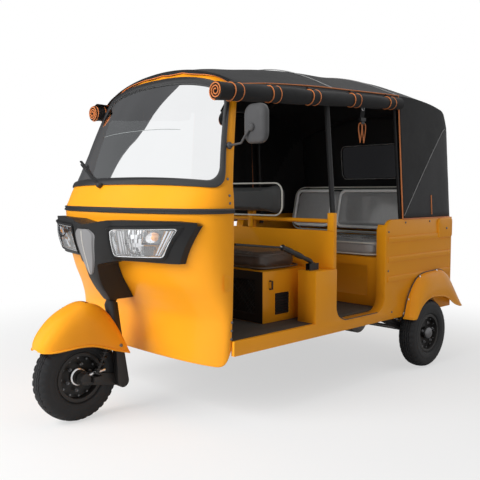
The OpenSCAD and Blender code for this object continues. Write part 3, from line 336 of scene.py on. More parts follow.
class Shape:
    """The faces of one piece, each with the number of its finish."""

    def __init__(self):
        self.verts, self.faces, self.tags = [], [], []

    def add(self, verts, faces, tag=0):
        """Faces over new points."""
        first = len(self.verts)
        self.verts += [Vector(v) for v in verts]
        self.faces += [tuple(first + i for i in f) for f in faces]
        self.tags += [tag] * len(faces)

    def grid(self, rows, tag=0, loop_rows=False, loop_cols=False, skip=None, away=None):
        """Quads over rows of points; their faces turn their backs to the point away."""
        n, m = len(rows), len(rows[0])
        faces = []
        for i in range(n if loop_rows else n - 1):
            for j in range(m if loop_cols else m - 1):
                if skip and skip(i, j):
                    continue
                e, g = (i + 1) % n, (j + 1) % m
                faces.append((i * m + j, i * m + g, e * m + g, e * m + j))
        points = [p for row in rows for p in row]
        if away is not None and faces:
            f = faces[len(faces) // 2]
            a, b, c = (Vector(points[i]) for i in f[:3])
            if (b - a).cross(c - b).dot(a - Vector(away)) < 0:
                faces = [tuple(reversed(f)) for f in faces]
        self.add(points, faces, tag)

    def tube(self, path, radius, sides=10, tag=0, closed=False):
        """A round bar along a path; radius is one number or one for each point."""
        path = [Vector(p) for p in path]
        radii = radius if isinstance(radius, (list, tuple)) else [radius] * len(path)
        last = len(path) - 1
        normal, rings = None, []
        for i, p in enumerate(path):
            a = path[i - 1] if i or closed else p
            b = path[(i + 1) % len(path)] if i < last or closed else p
            along = (b - a).normalized()
            if normal is None:
                normal = along.orthogonal().normalized()
            normal = (normal - along * normal.dot(along)).normalized()
            side = along.cross(normal)
            rings.append([p + radii[i] * (normal * math.cos(t) + side * math.sin(t))
                          for t in around(sides)])
        first = len(self.verts)
        self.grid(rings, tag, loop_rows=closed, loop_cols=True)
        if not closed:
            self.faces += [tuple(first + j for j in reversed(range(sides))),
                           tuple(first + last * sides + j for j in range(sides))]
            self.tags += [tag, tag]

    def lathe(self, profile, centre, axis, steps, tag=0):
        """Turned form: profile holds (radius, place along the axis)."""
        axis = Vector(axis).normalized()
        u = axis.orthogonal().normalized()
        w = axis.cross(u)
        centre = Vector(centre)
        rows = [[centre + axis * h + r * (u * math.cos(t) + w * math.sin(t)) for t in around(steps)]
                for r, h in profile]
        self.grid(rows, tag, loop_cols=True)

    def box(self, low, high, tag=0):
        """Box between two corners."""
        a, b = Vector(low), Vector(high)
        verts = [(x, y, z) for x in (a.x, b.x) for y in (a.y, b.y) for z in (a.z, b.z)]
        self.add(verts, [(0, 1, 3, 2), (4, 6, 7, 5), (0, 4, 5, 1), (2, 3, 7, 6), (0, 2, 6, 4), (1, 5, 7, 3)],
                 tag)

    def ribbon(self, path, across, thick, tag=0):
        """Flat band along a path: across gives the direction of its width at each point."""
        rings = []
        for i, p in enumerate(path):
            along = (Vector(path[min(i + 1, len(path) - 1)]) - Vector(path[max(i - 1, 0)])).normalized()
            wide = Vector(across[i])
            up = along.cross(wide).normalized() * (thick / 2)
            p = Vector(p)
            rings.append([p - wide / 2 - up, p + wide / 2 - up, p + wide / 2 + up, p - wide / 2 + up])
        first = len(self.verts)
        self.grid(rings, tag, loop_cols=True)
        n = 4 * (len(path) - 1)
        self.faces += [tuple(first + j for j in (3, 2, 1, 0)), tuple(first + n + j for j in range(4))]
        self.tags += [tag, tag]

    def make(self, name, finishes, slot, replaces=(), body="chassis", thick=0.0, bevel=0.0, angle=40,
             subdivide=0,
             closed=True):
        """The piece as an object that rides on a body; finishes holds the names of its finishes."""
        mesh = bpy.data.meshes.new(name)
        mesh.from_pydata([tuple(v + MID) for v in self.verts], [], self.faces)
        for cover in finishes.split():
            mesh.materials.append(finish(cover))
        mesh.polygons.foreach_set("material_index", self.tags)
        piece = bpy.data.objects.new(name, mesh)
        bpy.context.scene.collection.objects.link(piece)
        edit = bmesh.new()
        edit.from_mesh(mesh)
        bmesh.ops.remove_doubles(edit, verts=edit.verts, dist=1e-5)
        if closed:
            bmesh.ops.recalc_face_normals(edit, faces=edit.faces)
        edit.to_mesh(mesh)
        edit.free()
        if thick:
            solid = piece.modifiers.new("wall", "SOLIDIFY")
            solid.thickness, solid.offset = thick, -1.0
        if bevel:
            soften = piece.modifiers.new("edges", "BEVEL")
            soften.width, soften.segments, soften.limit_method = bevel, 2, "ANGLE"
            soften.angle_limit = math.radians(max(angle, 30))
        if subdivide:
            fine = piece.modifiers.new("smooth", "SUBSURF")
            fine.levels = fine.render_levels = subdivide
        mesh.shade_smooth()
        mesh.set_sharp_from_angle(angle=math.radians(angle))
        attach(piece, body)
        if replaces:
            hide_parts(*replaces)
        return piece


class Value:
    """One output of a shader tree; operators between such values and numbers add the maths nodes."""

    def __init__(self, tree, socket=None):
        self.tree, self.socket = tree, socket

    def node(self, kind, settings=None, sockets=None, out=0):
        """Any node: its type, its settings, which are set first, and its sockets by name or number."""
        made = self.tree.nodes.new(kind)
        for key, value in (settings or {}).items():
            setattr(made, key, value)
        for key, value in (sockets or {}).items():
            if isinstance(value, Value):
                self.tree.links.new(value.socket, made.inputs[key])
            else:
                made.inputs[key].default_value = value
        return Value(self.tree, made.outputs[out])

    def feed(self, shader, **sockets):
        """Links values to a shader's sockets, or sets their constant values."""
        for key, value in sockets.items():
            target = shader.inputs[key.replace("_", " ")]
            if isinstance(value, Value):
                self.tree.links.new(value.socket, target)
            else:
                target.default_value = value

    def place(self):
        """Place on the piece, in metres."""
        return self.node("ShaderNodeTexCoord", None, None, 3)

    def axes(self, place, *numbers):
        """Some of a place's x, y and z, by their numbers."""
        return [self.node("ShaderNodeSeparateXYZ", None, {"Vector": place}, i) for i in numbers]

    def surface(self, output="Material Output"):
        """Makes the value the surface of its tree."""
        self.tree.links.new(self.socket, self.tree.nodes[output].inputs["Surface"])

    def maths(self, operation, *values):
        """One Math node."""
        return self.node("ShaderNodeMath", {"operation": operation}, dict(enumerate(values)))

    def __add__(self, other):
        return self.maths("ADD", self, other)

    def __sub__(self, other):
        return self.maths("SUBTRACT", self, other)

    def __rsub__(self, other):
        return self.maths("SUBTRACT", other, self)

    def __mul__(self, other):
        return self.maths("MULTIPLY", self, other)

    def __truediv__(self, other):
        return self.maths("DIVIDE", self, other)

    def __pow__(self, other):
        return self.maths("POWER", self, other)

    def wave(self, scale):
        """Sine of the value times a scale, from 0 to 1."""
        return self.maths("SINE", self * scale) * 0.5 + 0.5

    def step(self, low, high):
        """0 below low, 1 above high and a smooth rise between them."""
        return self.node("ShaderNodeMapRange", {"interpolation_type": "SMOOTHSTEP"},
                         {"Value": self, "From Min": low, "From Max": high})

    def tint(self, a, b):
        """Colour a where the value is 0, b where it is 1."""
        return self.node("ShaderNodeMix", {"data_type": "RGBA"}, {0: self, 6: a, 7: b}, 2)

    def noise(self, place, scale, detail=2.0):
        """Noise over a place."""
        return self.node("ShaderNodeTexNoise", None, {"Vector": place, "Scale": scale, "Detail": detail})


def rgb(colour, gain=1.0):
    """Colour with alpha, made lighter or darker."""
    return (*(min(1.0, c * gain) for c in colour[:3]), 1.0)


def pattern(v, place, kind):
    """Height from 0 to 1 of the fine pattern of a surface."""
    x, y, z = v.axes(place, 0, 1, 2)
    if kind == "leather":
        cells = v.node("ShaderNodeTexVoronoi", {"feature": "DISTANCE_TO_EDGE"},
                       {"Vector": place, "Scale": 190.0})
        return cells.step(0.0, 0.28) * 0.7 + v.noise(place, 420.0) * 0.3
    if kind == "weave":
        return (x.wave(1900) * y.wave(1900) + z.wave(1900) * (x + y).wave(1900)) * 0.4 + v.noise(place,
                                                                                                 60.0) * 0.3
    if kind == "ribs":
        return x.wave(420).step(0.2, 0.7) * 0.8 + v.noise(place, 300.0) * 0.2
    if kind == "brushed":
        return v.noise(v.node("ShaderNodeCombineXYZ", None, {0: x * 30.0, 1: y * 400.0, 2: z * 400.0}), 1.0)
    if kind == "cast":
        return v.noise(place, 160.0, 5.0)
    if kind == "flutes":
        return x.wave(900) * 0.8 + v.noise(place, 90.0) * 0.2
    return v.noise(place, 240.0, 1.0)


def blank_finish(name):
    """A new material, and the first value of its tree."""
    material = bpy.data.materials.new("finish_" + name)
    material.use_nodes = True
    return material, Value(material.node_tree)


def grown_finish(name, colour, rough=0.45, grain="peel", bump=0.08, deep=0.0006, spread=0.06, dust=0.0,
                 metal=0.0,
                 coat=0.0, sheen=0.0, edge_lighten=0.0, gloss=0.5):
    """A finish with its fine pattern, broad patches, dust towards the ground and a lighter colour on sharp
    convex edges.
    """
    material, v = blank_finish(name)
    place = v.place()
    height, = v.axes(place, 2)
    fine = pattern(v, place, grain)
    broad = v.noise(place, 2.6, 4.0).step(0.25, 0.75)
    base = broad.tint(rgb(colour, 1 - spread), rgb(colour, 1 + spread))
    specks = v.noise(place, 38.0, 6.0)
    if dust:
        low = (1.0 - height / 0.75).maths("MAXIMUM", 1.0 - height / 0.75, 0.0)
        soil = (low * (specks.step(0.32, 0.72) * 0.7 + 0.3) * dust).maths("MINIMUM", low * dust, 1.0)
        base = soil.tint(base, (0.19, 0.155, 0.115, 1.0))
    # Lighter colour on sharp convex edges, found from the surface's pointiness.
    if edge_lighten:
        edge = v.node("ShaderNodeNewGeometry", None, None, 7).step(0.53, 0.60)
        base = (edge * edge_lighten).tint(base, rgb(colour, 1.5))
    v.feed(v.tree.nodes["Principled BSDF"], Base_Color=base,
           Roughness=fine * 0.10 + specks * 0.12 + (rough - 0.11), Metallic=metal,
           Coat_Weight=coat, Coat_Roughness=0.12, Sheen_Weight=sheen, Specular_IOR_Level=gloss,
           Normal=v.node("ShaderNodeBump", None, {"Strength": bump, "Distance": deep, "Height": fine}))
    return material


def clear_finish(name, tint, front, back, rough=0.02):
    """Clear sheet: part mirror, part see-through, more mirror at a low angle; back is its share inside."""
    material, v = blank_finish(name)
    v.tree.nodes.remove(v.tree.nodes["Principled BSDF"])
    place = v.place()
    inside = v.node("ShaderNodeNewGeometry", None, None, 6)
    rim = v.node("ShaderNodeLayerWeight", None, {"Blend": 0.35}, 1)
    film = v.noise(place, 5.0, 3.0) * 0.06 - 0.03
    share = (1.0 - inside) * (rim * (1.0 - front) * 0.5 + front + film) + inside * back
    mirror = v.node("ShaderNodeBsdfGlossy", None, {"Color": rgb((0.94, 0.95, 0.96)),
                                                   "Roughness": v.noise(place, 22.0, 4.0) * rough + 0.01})
    through = v.node("ShaderNodeBsdfTransparent", None, {"Color": rgb(tint)})
    v.node("ShaderNodeMixShader", None, {0: share, 1: through, 2: mirror}).surface()
    return material


def finish(name):
    """The finish of that name, made the first time that it is asked for."""
    made = bpy.data.materials.get("finish_" + name)
    if made:
        return made
    look = bpy.context.scene.wheeler_look
    if name == "glass":
        return clear_finish(name, (0.42, 0.45, 0.45), look.glass_mirror, 0.12)
    if name == "cover":
        return clear_finish(name, (0.97, 0.98, 1.0), 0.14, 0.08)
    if name == "film":
        return clear_finish(name, (0.012, 0.012, 0.013), 0.08, 0.008, 0.3)
    table = {
        "yellow": dict(colour=look.paint, rough=0.34, bump=0.05, spread=0.045, dust=0.06, coat=0.10,
                       edge_lighten=0.12, gloss=0.16),
        "black": dict(colour=(0.010, 0.010, 0.011), rough=0.42, dust=0.06, edge_lighten=0.3, gloss=0.35),
        "plastic": dict(colour=look.trim, rough=0.42, grain="leather", bump=0.10, dust=0.04, gloss=0.26),
        "shell": dict(colour=(0.050, 0.050, 0.052), rough=0.40, grain="leather", bump=0.08),
        "grey": dict(colour=(0.20, 0.20, 0.205), rough=0.34, grain="peel", bump=0.06),
        "rubber": dict(colour=(0.018, 0.018, 0.019), rough=0.30, grain="cast", bump=0.10, spread=0.15),
        "mat": dict(colour=(0.020, 0.016, 0.014), rough=0.75, grain="ribs", bump=0.5, deep=0.0015, dust=0.35),
        "canvas": dict(colour=look.canvas, rough=0.66, grain="weave", bump=0.35, spread=0.16, sheen=0.03,
                       gloss=0.22),
        # Lighter copy of the canvas, on the quarters' lower rear panels behind the seam.
        "faded": dict(colour=[c * 1.9 for c in look.canvas], rough=0.66, grain="weave", bump=0.35,
                      spread=0.16, sheen=0.03, gloss=0.30),
        "piping": dict(colour=look.piping, rough=0.50, grain="weave", bump=0.20, spread=0.12),
        "thread": dict(colour=(0.26, 0.26, 0.26), rough=0.70, grain="weave", bump=0.3),
        "vinyl": dict(colour=look.vinyl, rough=0.24, grain="leather", bump=0.14, coat=1.0, spread=0.10),
        "charcoal": dict(colour=(0.060, 0.060, 0.061), rough=0.42, grain="leather", bump=0.14, spread=0.08,
                         gloss=0.25),
        # Near-white rims on the rear backrest: painted highlight along its panels' edges.
        "border": dict(colour=(0.93, 0.93, 0.93), rough=0.14, grain="peel", bump=0.03, spread=0.04, coat=1.0),
        "brown": dict(colour=(0.075, 0.055, 0.045), rough=0.42, grain="leather", bump=0.25, spread=0.14),
        "tyre": dict(colour=(0.011, 0.0115, 0.013), rough=0.58, grain="cast", bump=0.25, dust=0.02,
                     spread=0.2, gloss=0.30),
        "steel": dict(colour=(0.72, 0.72, 0.73), rough=0.30, grain="brushed", bump=0.08, metal=0.8,
                      spread=0.1),
        "chrome": dict(colour=(0.88, 0.89, 0.90), rough=0.16, grain="peel", bump=0.02, metal=1.0,
                       spread=0.03),
        "cast": dict(colour=(0.30, 0.30, 0.31), rough=0.55, grain="cast", bump=0.35, metal=1.0, dust=0.4),
        "dull": dict(colour=(0.16, 0.16, 0.165), rough=0.42, grain="cast", bump=0.2, metal=1.0),
        # Near-black sheet behind meshes, vents and lamp internals: painted shade of the hollows behind them.
        "pit": dict(colour=(0.006, 0.006, 0.006), rough=0.70, grain="cast"),
        "red": dict(colour=(0.42, 0.012, 0.008), rough=0.20, grain="flutes", bump=0.5, deep=0.001, coat=0.8),
        "amber": dict(colour=(0.85, 0.33, 0.05), rough=0.20, grain="flutes", bump=0.3, coat=0.8),
        # Pale beige: the real piping colour on the driver backrest; on the rear seats' piping and the nose
        # insert's line it is a painted highlight.
        "pale": dict(colour=(0.62, 0.60, 0.55), rough=0.50, grain="peel", bump=0.05),
    }
    return grown_finish(name, **table[name])


def colour_setting(name, about, colour):
    """A colour in the panel."""
    return bpy.props.FloatVectorProperty(name=name, description=about, subtype="COLOR", default=colour,
                                         min=0.0, max=1.0)


def length_setting(name, about, length, least, most):
    """A length in the panel, in metres."""
    return bpy.props.FloatProperty(name=name, description=about, default=length, min=least, max=most,
                                   unit="LENGTH")


class WheelerLook(bpy.types.PropertyGroup):
    """Colours of the finishes."""
    paint: colour_setting("Paint", "Colour of the body paint", (0.90, 0.35, 0.012))
    canvas: colour_setting("Canvas", "Colour of the hood's cloth", (0.013, 0.013, 0.0138))
    piping: colour_setting("Piping", "Colour of the sewn edges", (0.60, 0.19, 0.055))
    vinyl: colour_setting("Vinyl", "Colour of the seat covers", (0.360, 0.360, 0.365))
    trim: colour_setting("Trim", "Colour of the black plastic", (0.013, 0.013, 0.0135))
    glass_mirror: bpy.props.FloatProperty(name="Glass mirror",
                                          description="Share of the windscreen that mirrors",
                                          default=0.90, min=0.0, max=1.0, subtype="FACTOR")


class WheelerCloth(bpy.types.PropertyGroup):
    """Sizes of the sewn work."""
    sheet: length_setting("Cloth", "Thickness of the cloth", 0.0025, 0.001, 0.006)
    piping_r: length_setting("Piping radius", "Radius of the piped edges", 0.0042, 0.002, 0.008)
    strap: length_setting("Strap", "Width of the curtain straps", 0.050, 0.02, 0.09)
    sag: length_setting("Sag", "Sag of the roof between its bows", 0.007, 0.0, 0.02)
    swell: length_setting("Swell", "Most that a cushion swells", 0.016, 0.004, 0.03)
    voxel: length_setting("Cushion mesh", "Size of the cushions' cells", 0.010, 0.005, 0.02)


class WheelerStage(bpy.types.PropertyGroup):
    """Light and camera."""
    key: bpy.props.FloatProperty(name="Key", description="Power of the front light in watts", default=345.0,
                                 min=0.0,
                                 max=2000.0)
    fill: bpy.props.FloatProperty(name="Fill", description="Power of the upper light in watts", default=34.0,
                                  min=0.0,
                                  max=2000.0)
    ambient: bpy.props.FloatProperty(name="Ambient", description="Level of the light from all round",
                                     default=0.30,
                                     min=0.0, max=2.0)
    lens: bpy.props.FloatProperty(name="Lens", description="Focal length of the camera", default=49.31,
                                  min=10.0,
                                  max=200.0, unit="CAMERA")


class Piece:
    """What the operators that make pieces share."""
    bl_options = {"REGISTER", "UNDO"}

    def execute(self, context):
        """Makes the pieces."""
        self.build(context.scene)
        return {"FINISHED"}

    def declare(self, piece, flat, held, on):
        """Does nothing: the sheet's piece, size, hold and support are not used."""


def square_ring(n, across, up):
    """Points of a square from -1 to 1 with rounded corners: across and up are the corner radii as shares."""
    ring = []
    for i in range(n):
        s = 8.0 * i / n
        side, along = int(s // 2), s % 2 - 1
        a, b = ((1, along), (-along, 1), (-1, -along), (along, -1))[side]
        p, q = abs(a) - (1 - across), abs(b) - (1 - up)
        if p > 0 and q > 0:
            t = math.atan2(q / up, p / across)
            a = math.copysign(1 - across + across * math.cos(t), a)
            b = math.copysign(1 - up + up * math.sin(t), b)
        ring.append((a, b))
    return ring


def screen_ring(shrink, off):
    """Points round the windscreen opening, moved in by a share and off metres outside the surface."""
    mid, half = (GLASS_LOW + GLASS_TOP) / 2, (GLASS_TOP - GLASS_LOW) / 2
    return [screen_at(a * GLASS_SHARE * (1 - shrink), mid + b * half * (1 - 1.7 * shrink), off)
            for a, b in square_ring(GLASS_STEPS, *GLASS_CORNERS)]


class WheelerFront(Piece, bpy.types.Operator):
    """Front shell, windscreen and its frame, belt strip, fascia and nose"""
    bl_idname = "wheeler.front"
    bl_label = "Front"

    def build(self, scene):
        """Front of the body."""
        inside = (0.0, REAR_EDGE + 0.3, 0.8)
        turns = span(-90, 90, 72)
        cowl = Shape()
        cowl.grid([[cowl_at(h, t) for t in turns] for h in span(0, 1, 44)], away=inside)
        cowl.make("cowl_shell", "yellow", "yellow_paint", ["front_cowl"], thick=SHELL_T,
                  bevel=0.003, closed=False)
        ring, mid = Shape(), (GLASS_LOW + GLASS_TOP) / 2
        inner = square_ring(GLASS_STEPS, *GLASS_CORNERS)
        outer = square_ring(GLASS_STEPS, 0.001, 0.001)
        rows = []
        for k in [0.0, 0.04, 0.12] + span(0.25, 1, 8):
            row = []
            for (a, b), (c, d) in zip(inner, outer):
                h = mid + b * (GLASS_TOP - mid)
                e = mid + d * ((2 - mid) if d > 0 else (mid - 1))
                row.append(screen_at(mix(a * GLASS_SHARE, c, k), mix(h, e, k), GLASS_SINK if k == 0 else 0.0))
            rows.append(row)
        ring.grid(rows, loop_cols=True, away=inside)
        ring.make("screen_frame", "yellow", "yellow_paint", ["windscreen_frame"], thick=SHELL_T,
                  bevel=0.0025, closed=False)
        seal = Shape()
        seal.grid([screen_ring(s, o) for s,
                   o in ((-0.040, 0.001), (-0.037, 0.007), (-0.016, 0.0105), (0.020, 0.0105),
                                                  (0.036, 0.007), (0.043, 0.001), (0.045, -0.005))],
                  loop_cols=True, away=inside)
        seal.make("screen_seal", "rubber", "rubber_trim", ["windscreen_seal"], closed=False)
        glass = Shape()
        glass.grid([screen_ring(s, GLASS_SINK) for s in (0.035, 0.1, 0.2, 0.3, 0.4, 0.5, GLASS_CORE)],
                   loop_cols=True, away=inside)
        core = [screen_at(0, mid, GLASS_SINK)] + screen_ring(GLASS_CORE, GLASS_SINK)
        glass.add(core, [(0, 1 + (i + 1) % GLASS_STEPS, 1 + i) for i in range(GLASS_STEPS)])
        glass.make("screen_glass", "glass", "glass", ["windscreen_glass"], closed=False)
        belt = Shape()
        half = 0.0115 / (BELT_Z - SILL_Z)
        belt.grid([[cowl_at(1 + d * half, t, o) for t in turns] for d, o in (
            (-1, 0.0015), (-1, 0.006), (-0.8, 0.0075), (-0.30, 0.0075), (-0.18, 0.004), (0.18, 0.004),
                                                                             (0.30, 0.0075),
            (0.8, 0.0075), (1, 0.006), (1, 0.0015))], away=inside)
        belt.make("belt_rubber", "rubber", "rubber_trim", ["belt_strip"], angle=60, closed=False)
        self.fascia()
        self.wiper()
        self.bolts()

    def fascia(self):
        """Black moulding with the beak, and the grey insert on it."""
        face = Shape()
        shares = span(-0.925, 0.925, 148)
        rows = []
        for v in span(0, 1, 40):
            row = []
            for f in shares:
                x = f * BODY_HALF
                z = BELT_Z - mix(straight(FASCIA_FORM, abs(f), 1), straight(FASCIA_FORM, abs(f), 2), v)
                row.append(Vector((x, fascia_y(x, z), z)))
            rows.append(row)
        rim = [[Vector((p.x, cowl_y(p.x, p.z) - 0.004, p.z)) for p in row] for row in (rows[0], rows[-1])]

        def open_lamp(row, col):
            p = (rows[row][col] + rows[row + 1][col + 1]) / 2
            drop = BELT_Z - p.z
            v = (LENS_MEAN_DROP - drop) / LENS_HEIGHT
            low, high = (mix(LENS_LOW_X[i], LENS_TOP_X[i], v) for i in (0, 1))
            return 0.04 < v < 0.96 and low + 0.006 < abs(p.x) < high - 0.008
        face.grid(rows, away=(0, -0.5, 0.7), skip=open_lamp)
        face.grid([rim[0], rows[0]], away=(0, -0.8, 0.9))
        face.grid([rows[-1], rim[1]], away=(0, -0.8, 0.7))
        face.make("lamp_moulding", "plastic", "black_plastic", ["lamp_fascia"], angle=32,
                  closed=False)
        nose = Shape()
        rows = []
        for v in span(0, 1, 24):
            z = BELT_Z - mix(0.300, 0.086, v)
            half = 0.004 + 0.084 * v ** 0.6 * (1 - 0.55 * max(0.0, (v - 0.84) / 0.16) ** 2)
            rows.append([Vector((half * u, fascia_y(half * u, z) - (0.007 if abs(u) < 0.93 else 0.001)
                                 - 0.003 * (1 - abs(u)), z)) for u in span(-1, 1, 30)])
        nose.grid(rows, away=(0, -0.8, 0.8))
        # Pale raised line down the insert: painted highlight.
        line = [Vector((0, fascia_y(0, z) - 0.010, z)) for z in span(BELT_Z - 0.298, BELT_Z - 0.094, 20)]
        nose.tube(line, 0.0022, 8, 1)
        nose.make("nose_insert", "grey pale", "grey_plastic", ["nose_panel"],
                  angle=35, closed=False)

    def wiper(self):
        """Wiper arm, its blade and its spindle cap."""
        wiper = Shape()
        p = cowl_at(GLASS_LOW - 0.025, -7, 0.003) + Vector((0, -0.012, 0))
        tip = cowl_at(GLASS_LOW + 0.17, -46, 0.016)
        wiper.lathe([(0.014, 0.014), (0.014, -0.004), (0.011, -0.009), (0.001, -0.010)], p, (0, 1, 0), 16)
        wiper.tube([p, p.lerp(tip, 0.2) + Vector((0, -0.004, 0)), p.lerp(tip, 0.75), tip],
                   [0.009, 0.0085, 0.0075, 0.006])
        a, b = p.lerp(tip, 0.3) + Vector((0, -0.002, 0)), tip + Vector((-0.012, 0.004, 0.018))
        path = [a.lerp(b, s) + Vector((0, 0.003 * math.sin(math.pi * s), 0)) for s in span(0, 1, 10)]
        wiper.ribbon(path, [Vector((0, 0.014, 0))] * 11, 0.006)
        for s in (0.2, 0.5, 0.8):
            wiper.box(a.lerp(b, s) - Vector((0.006, 0.007, 0.004)),
                      a.lerp(b, s) + Vector((0.006, 0.0, 0.004)))
        wiper.make("wiper_arm", "rubber", "rubber_trim", ["wiper"])

    def bolts(self):
        """Screws and the moulded tab on the shell's rear edge."""
        screws = Shape()
        places = [(1.25, 84.5), (1.12, 86.5), (1.06, 87.0), (0.10, 88.5), (0.16, 88.5), (0.22, 88.5)]
        for h, t in places:
            for s in (-1, 1):
                p = cowl_at(h, s * t)
                screws.lathe([(0.006, 0.0), (0.006, 0.002), (0.0035, 0.004), (0.0002, 0.004)], p, (s, 0, 0),
                             10)
        screws.make("cowl_screws", "dull", "cast_metal")
        tab = Shape()
        for s in (-1, 1):
            p = cowl_at(0.52, s * 84)
            rows = [[p + Vector((s * (0.004 * math.sin(math.pi * min(u, 0.999)) * (1 if 0 < w < 1 else 0)
                                      + 0.0005),
                                 mix(-0.024, 0.024, u), mix(-0.036, 0.036, w))) for u in span(0, 1, 8)]
                    for w in span(0, 1, 8)]
            tab.grid(rows, away=(0, p.y, p.z))
        tab.make("cowl_tabs", "yellow", "yellow_paint", closed=False)


class WheelerLamps(Piece, bpy.types.Operator):
    """Headlamps with their covers, frames and reflectors"""
    bl_idname = "wheeler.lamps"
    bl_label = "Lamps"

    def build(self, scene):
        """Lamps at the front."""
        ring = square_ring(96, 0.10, 0.22)
        cover, frame_ring, bright = Shape(), Shape(), Shape()
        for side in (-1, 1):
            inside = (side * 0.3, -0.5, 0.82)

            def outline(grow, depth):
                return [lens_at(side, 0.5 + 0.5 * a * (1 + grow), 0.5 + 0.5 * b * (1 + grow * 2.2), depth)
                        for a, b in ring]
            cover.grid([outline(-s, -0.0015 * s) for s in (0.0, 0.12, 0.24, 0.36, 0.449)], loop_cols=True,
                       away=inside)
            frame_ring.grid([outline(g, d) for g,
                             d in ((0.085, 0.008), (0.080, 0.001), (0.060, -0.004), (0.015, -0.004),
                                                        (0.0, 0.0), (-0.02, 0.012))], loop_cols=True,
                            away=inside)
            bright.grid([outline(g, d) for g, d in ((-0.005, 0.004), (-0.04, 0.022), (-0.06, 0.046))],
                        loop_cols=True, away=(side * 0.3, -1.2, 0.82))
            self.inside(bright, side)
            bright.tube(outline(-0.012, 0.001), 0.0022, 6, 0, closed=True)
        cover.make("lamp_covers", "cover", "lamp_cover", ["lamp_lenses"], closed=False)
        frame_ring.make("lamp_frames", "plastic", "black_plastic", closed=False)
        bright.make("lamp_reflectors", "chrome pit steel amber dull",
                    "reflector", ["headlamps"], angle=6, closed=False)

    def inside(self, shape, side):
        """Inside of one headlamp: slats, facets, a bulb's cell, a mesh cell and slanted outer bars."""
        def patch(u0, u1, v0, v1, near, far, lean, tag):
            shape.add([lens_at(side, u0, v0, near), lens_at(side, u1, v0, far),
                       lens_at(side, u1 + lean, v1, far),
                       lens_at(side, u0 + lean, v1, near)], [(0, 1, 2, 3)], tag)
        # Near-black back plate: painted shade of the lamp's depth.
        patch(0.02, 0.98, 0.03, 0.97, 0.048, 0.048, 0.0, 1)
        for i in range(10):
            u = mix(0.035, 0.225, i / 10)
            patch(u, u + 0.019, 0.08, 0.92, 0.022 + 0.002 * i, 0.030 + 0.002 * i, 0.018, 4 if i % 2 else 2)
        for i in range(8):
            for j in range(6):
                u, v = mix(0.26, 0.54, i / 8), mix(0.05, 0.95, j / 6)
                d = 0.026 + 0.010 * ruffle((i, j, side), 0.73, 3.0)
                patch(u, u + 0.035, v, v + 0.15, d, d + 0.012 * ruffle((j, i, side), 0.91), 0.0,
                      (0, 2, 0, 4, 2)[(3 * i + 2 * j + i * j) % 5])
        # Near-black crescent along the bowl's edge: painted shade.
        crescent = ((0.270, 0.95), (0.255, 0.70), (0.265, 0.45), (0.310, 0.24), (0.390, 0.12), (0.490, 0.10))
        shape.tube([lens_at(side, u, v, 0.010) for u, v in crescent],
                   [0.002, 0.005, 0.006, 0.006, 0.004, 0.002], 8, 1)
        self.cell(shape, side, 0.565, 0.845, 0.45, 0.93, 0.006, 0.040, 4)
        self.bowl(shape, side, 0.705, 0.69, 0.10, 0.19, 0.012, 0.036)
        # Lower cell with a near-black back: painted shade behind its mesh.
        self.cell(shape, side, 0.545, 0.795, 0.08, 0.40, 0.006, 0.022, 1)
        for i in range(1, 7):
            u, v = mix(0.545, 0.795, i / 7), mix(0.08, 0.40, i / 7)
            shape.tube([lens_at(side, u, 0.09, 0.013), lens_at(side, u, 0.39, 0.013)], 0.0010, 5, 4)
            shape.tube([lens_at(side, 0.555, v, 0.013), lens_at(side, 0.785, v, 0.013)], 0.0010, 5, 4)
        # Slanted bars in chrome, near black and steel; the near-black bars are painted shade between the
        # bright ones.
        for i in range(6):
            u = mix(0.825, 0.935, i / 5)
            patch(u, u + 0.016, 0.06, 0.94, 0.008 + 0.004 * (i % 2), 0.010, 0.042, (0, 1, 2)[i % 3])
        bulb = lens_at(side, 0.705, 0.69, 0.034)
        r = 0.014
        shape.lathe([(r, 0.0), (r, -0.010), (r * 0.85, -0.018), (r * 0.4, -0.024), (0.0003, -0.025)], bulb,
                    (0, 1, 0), 14, 3)

    def cell(self, shape, side, u0, u1, v0, v1, front, back, tag):
        """Small box open to the front."""
        near = [lens_at(side, u, v, front) for u, v in ((u0, v0), (u1, v0), (u1, v1), (u0, v1))]
        far = [lens_at(side, mix(u, (u0 + u1) / 2, 0.12), mix(v, (v0 + v1) / 2, 0.12), back)
               for u, v in ((u0, v0), (u1, v0), (u1, v1), (u0, v1))]
        shape.grid([near, far], 0, loop_cols=True)
        shape.add(far, [(0, 1, 2, 3)], tag)

    def bowl(self, shape, side, u, v, ru, rv, front, back):
        """Facetted reflector bowl."""
        rows = []
        for k in span(1.0, 0.12, 5):
            rows.append([lens_at(side, u + ru * k * math.cos(t), v + rv * k * math.sin(t),
                                 mix(back, front, k * k))
                         for t in around(16)])
        shape.grid(rows, 0, loop_cols=True)
        shape.add(rows[-1], [tuple(range(16))], 0)


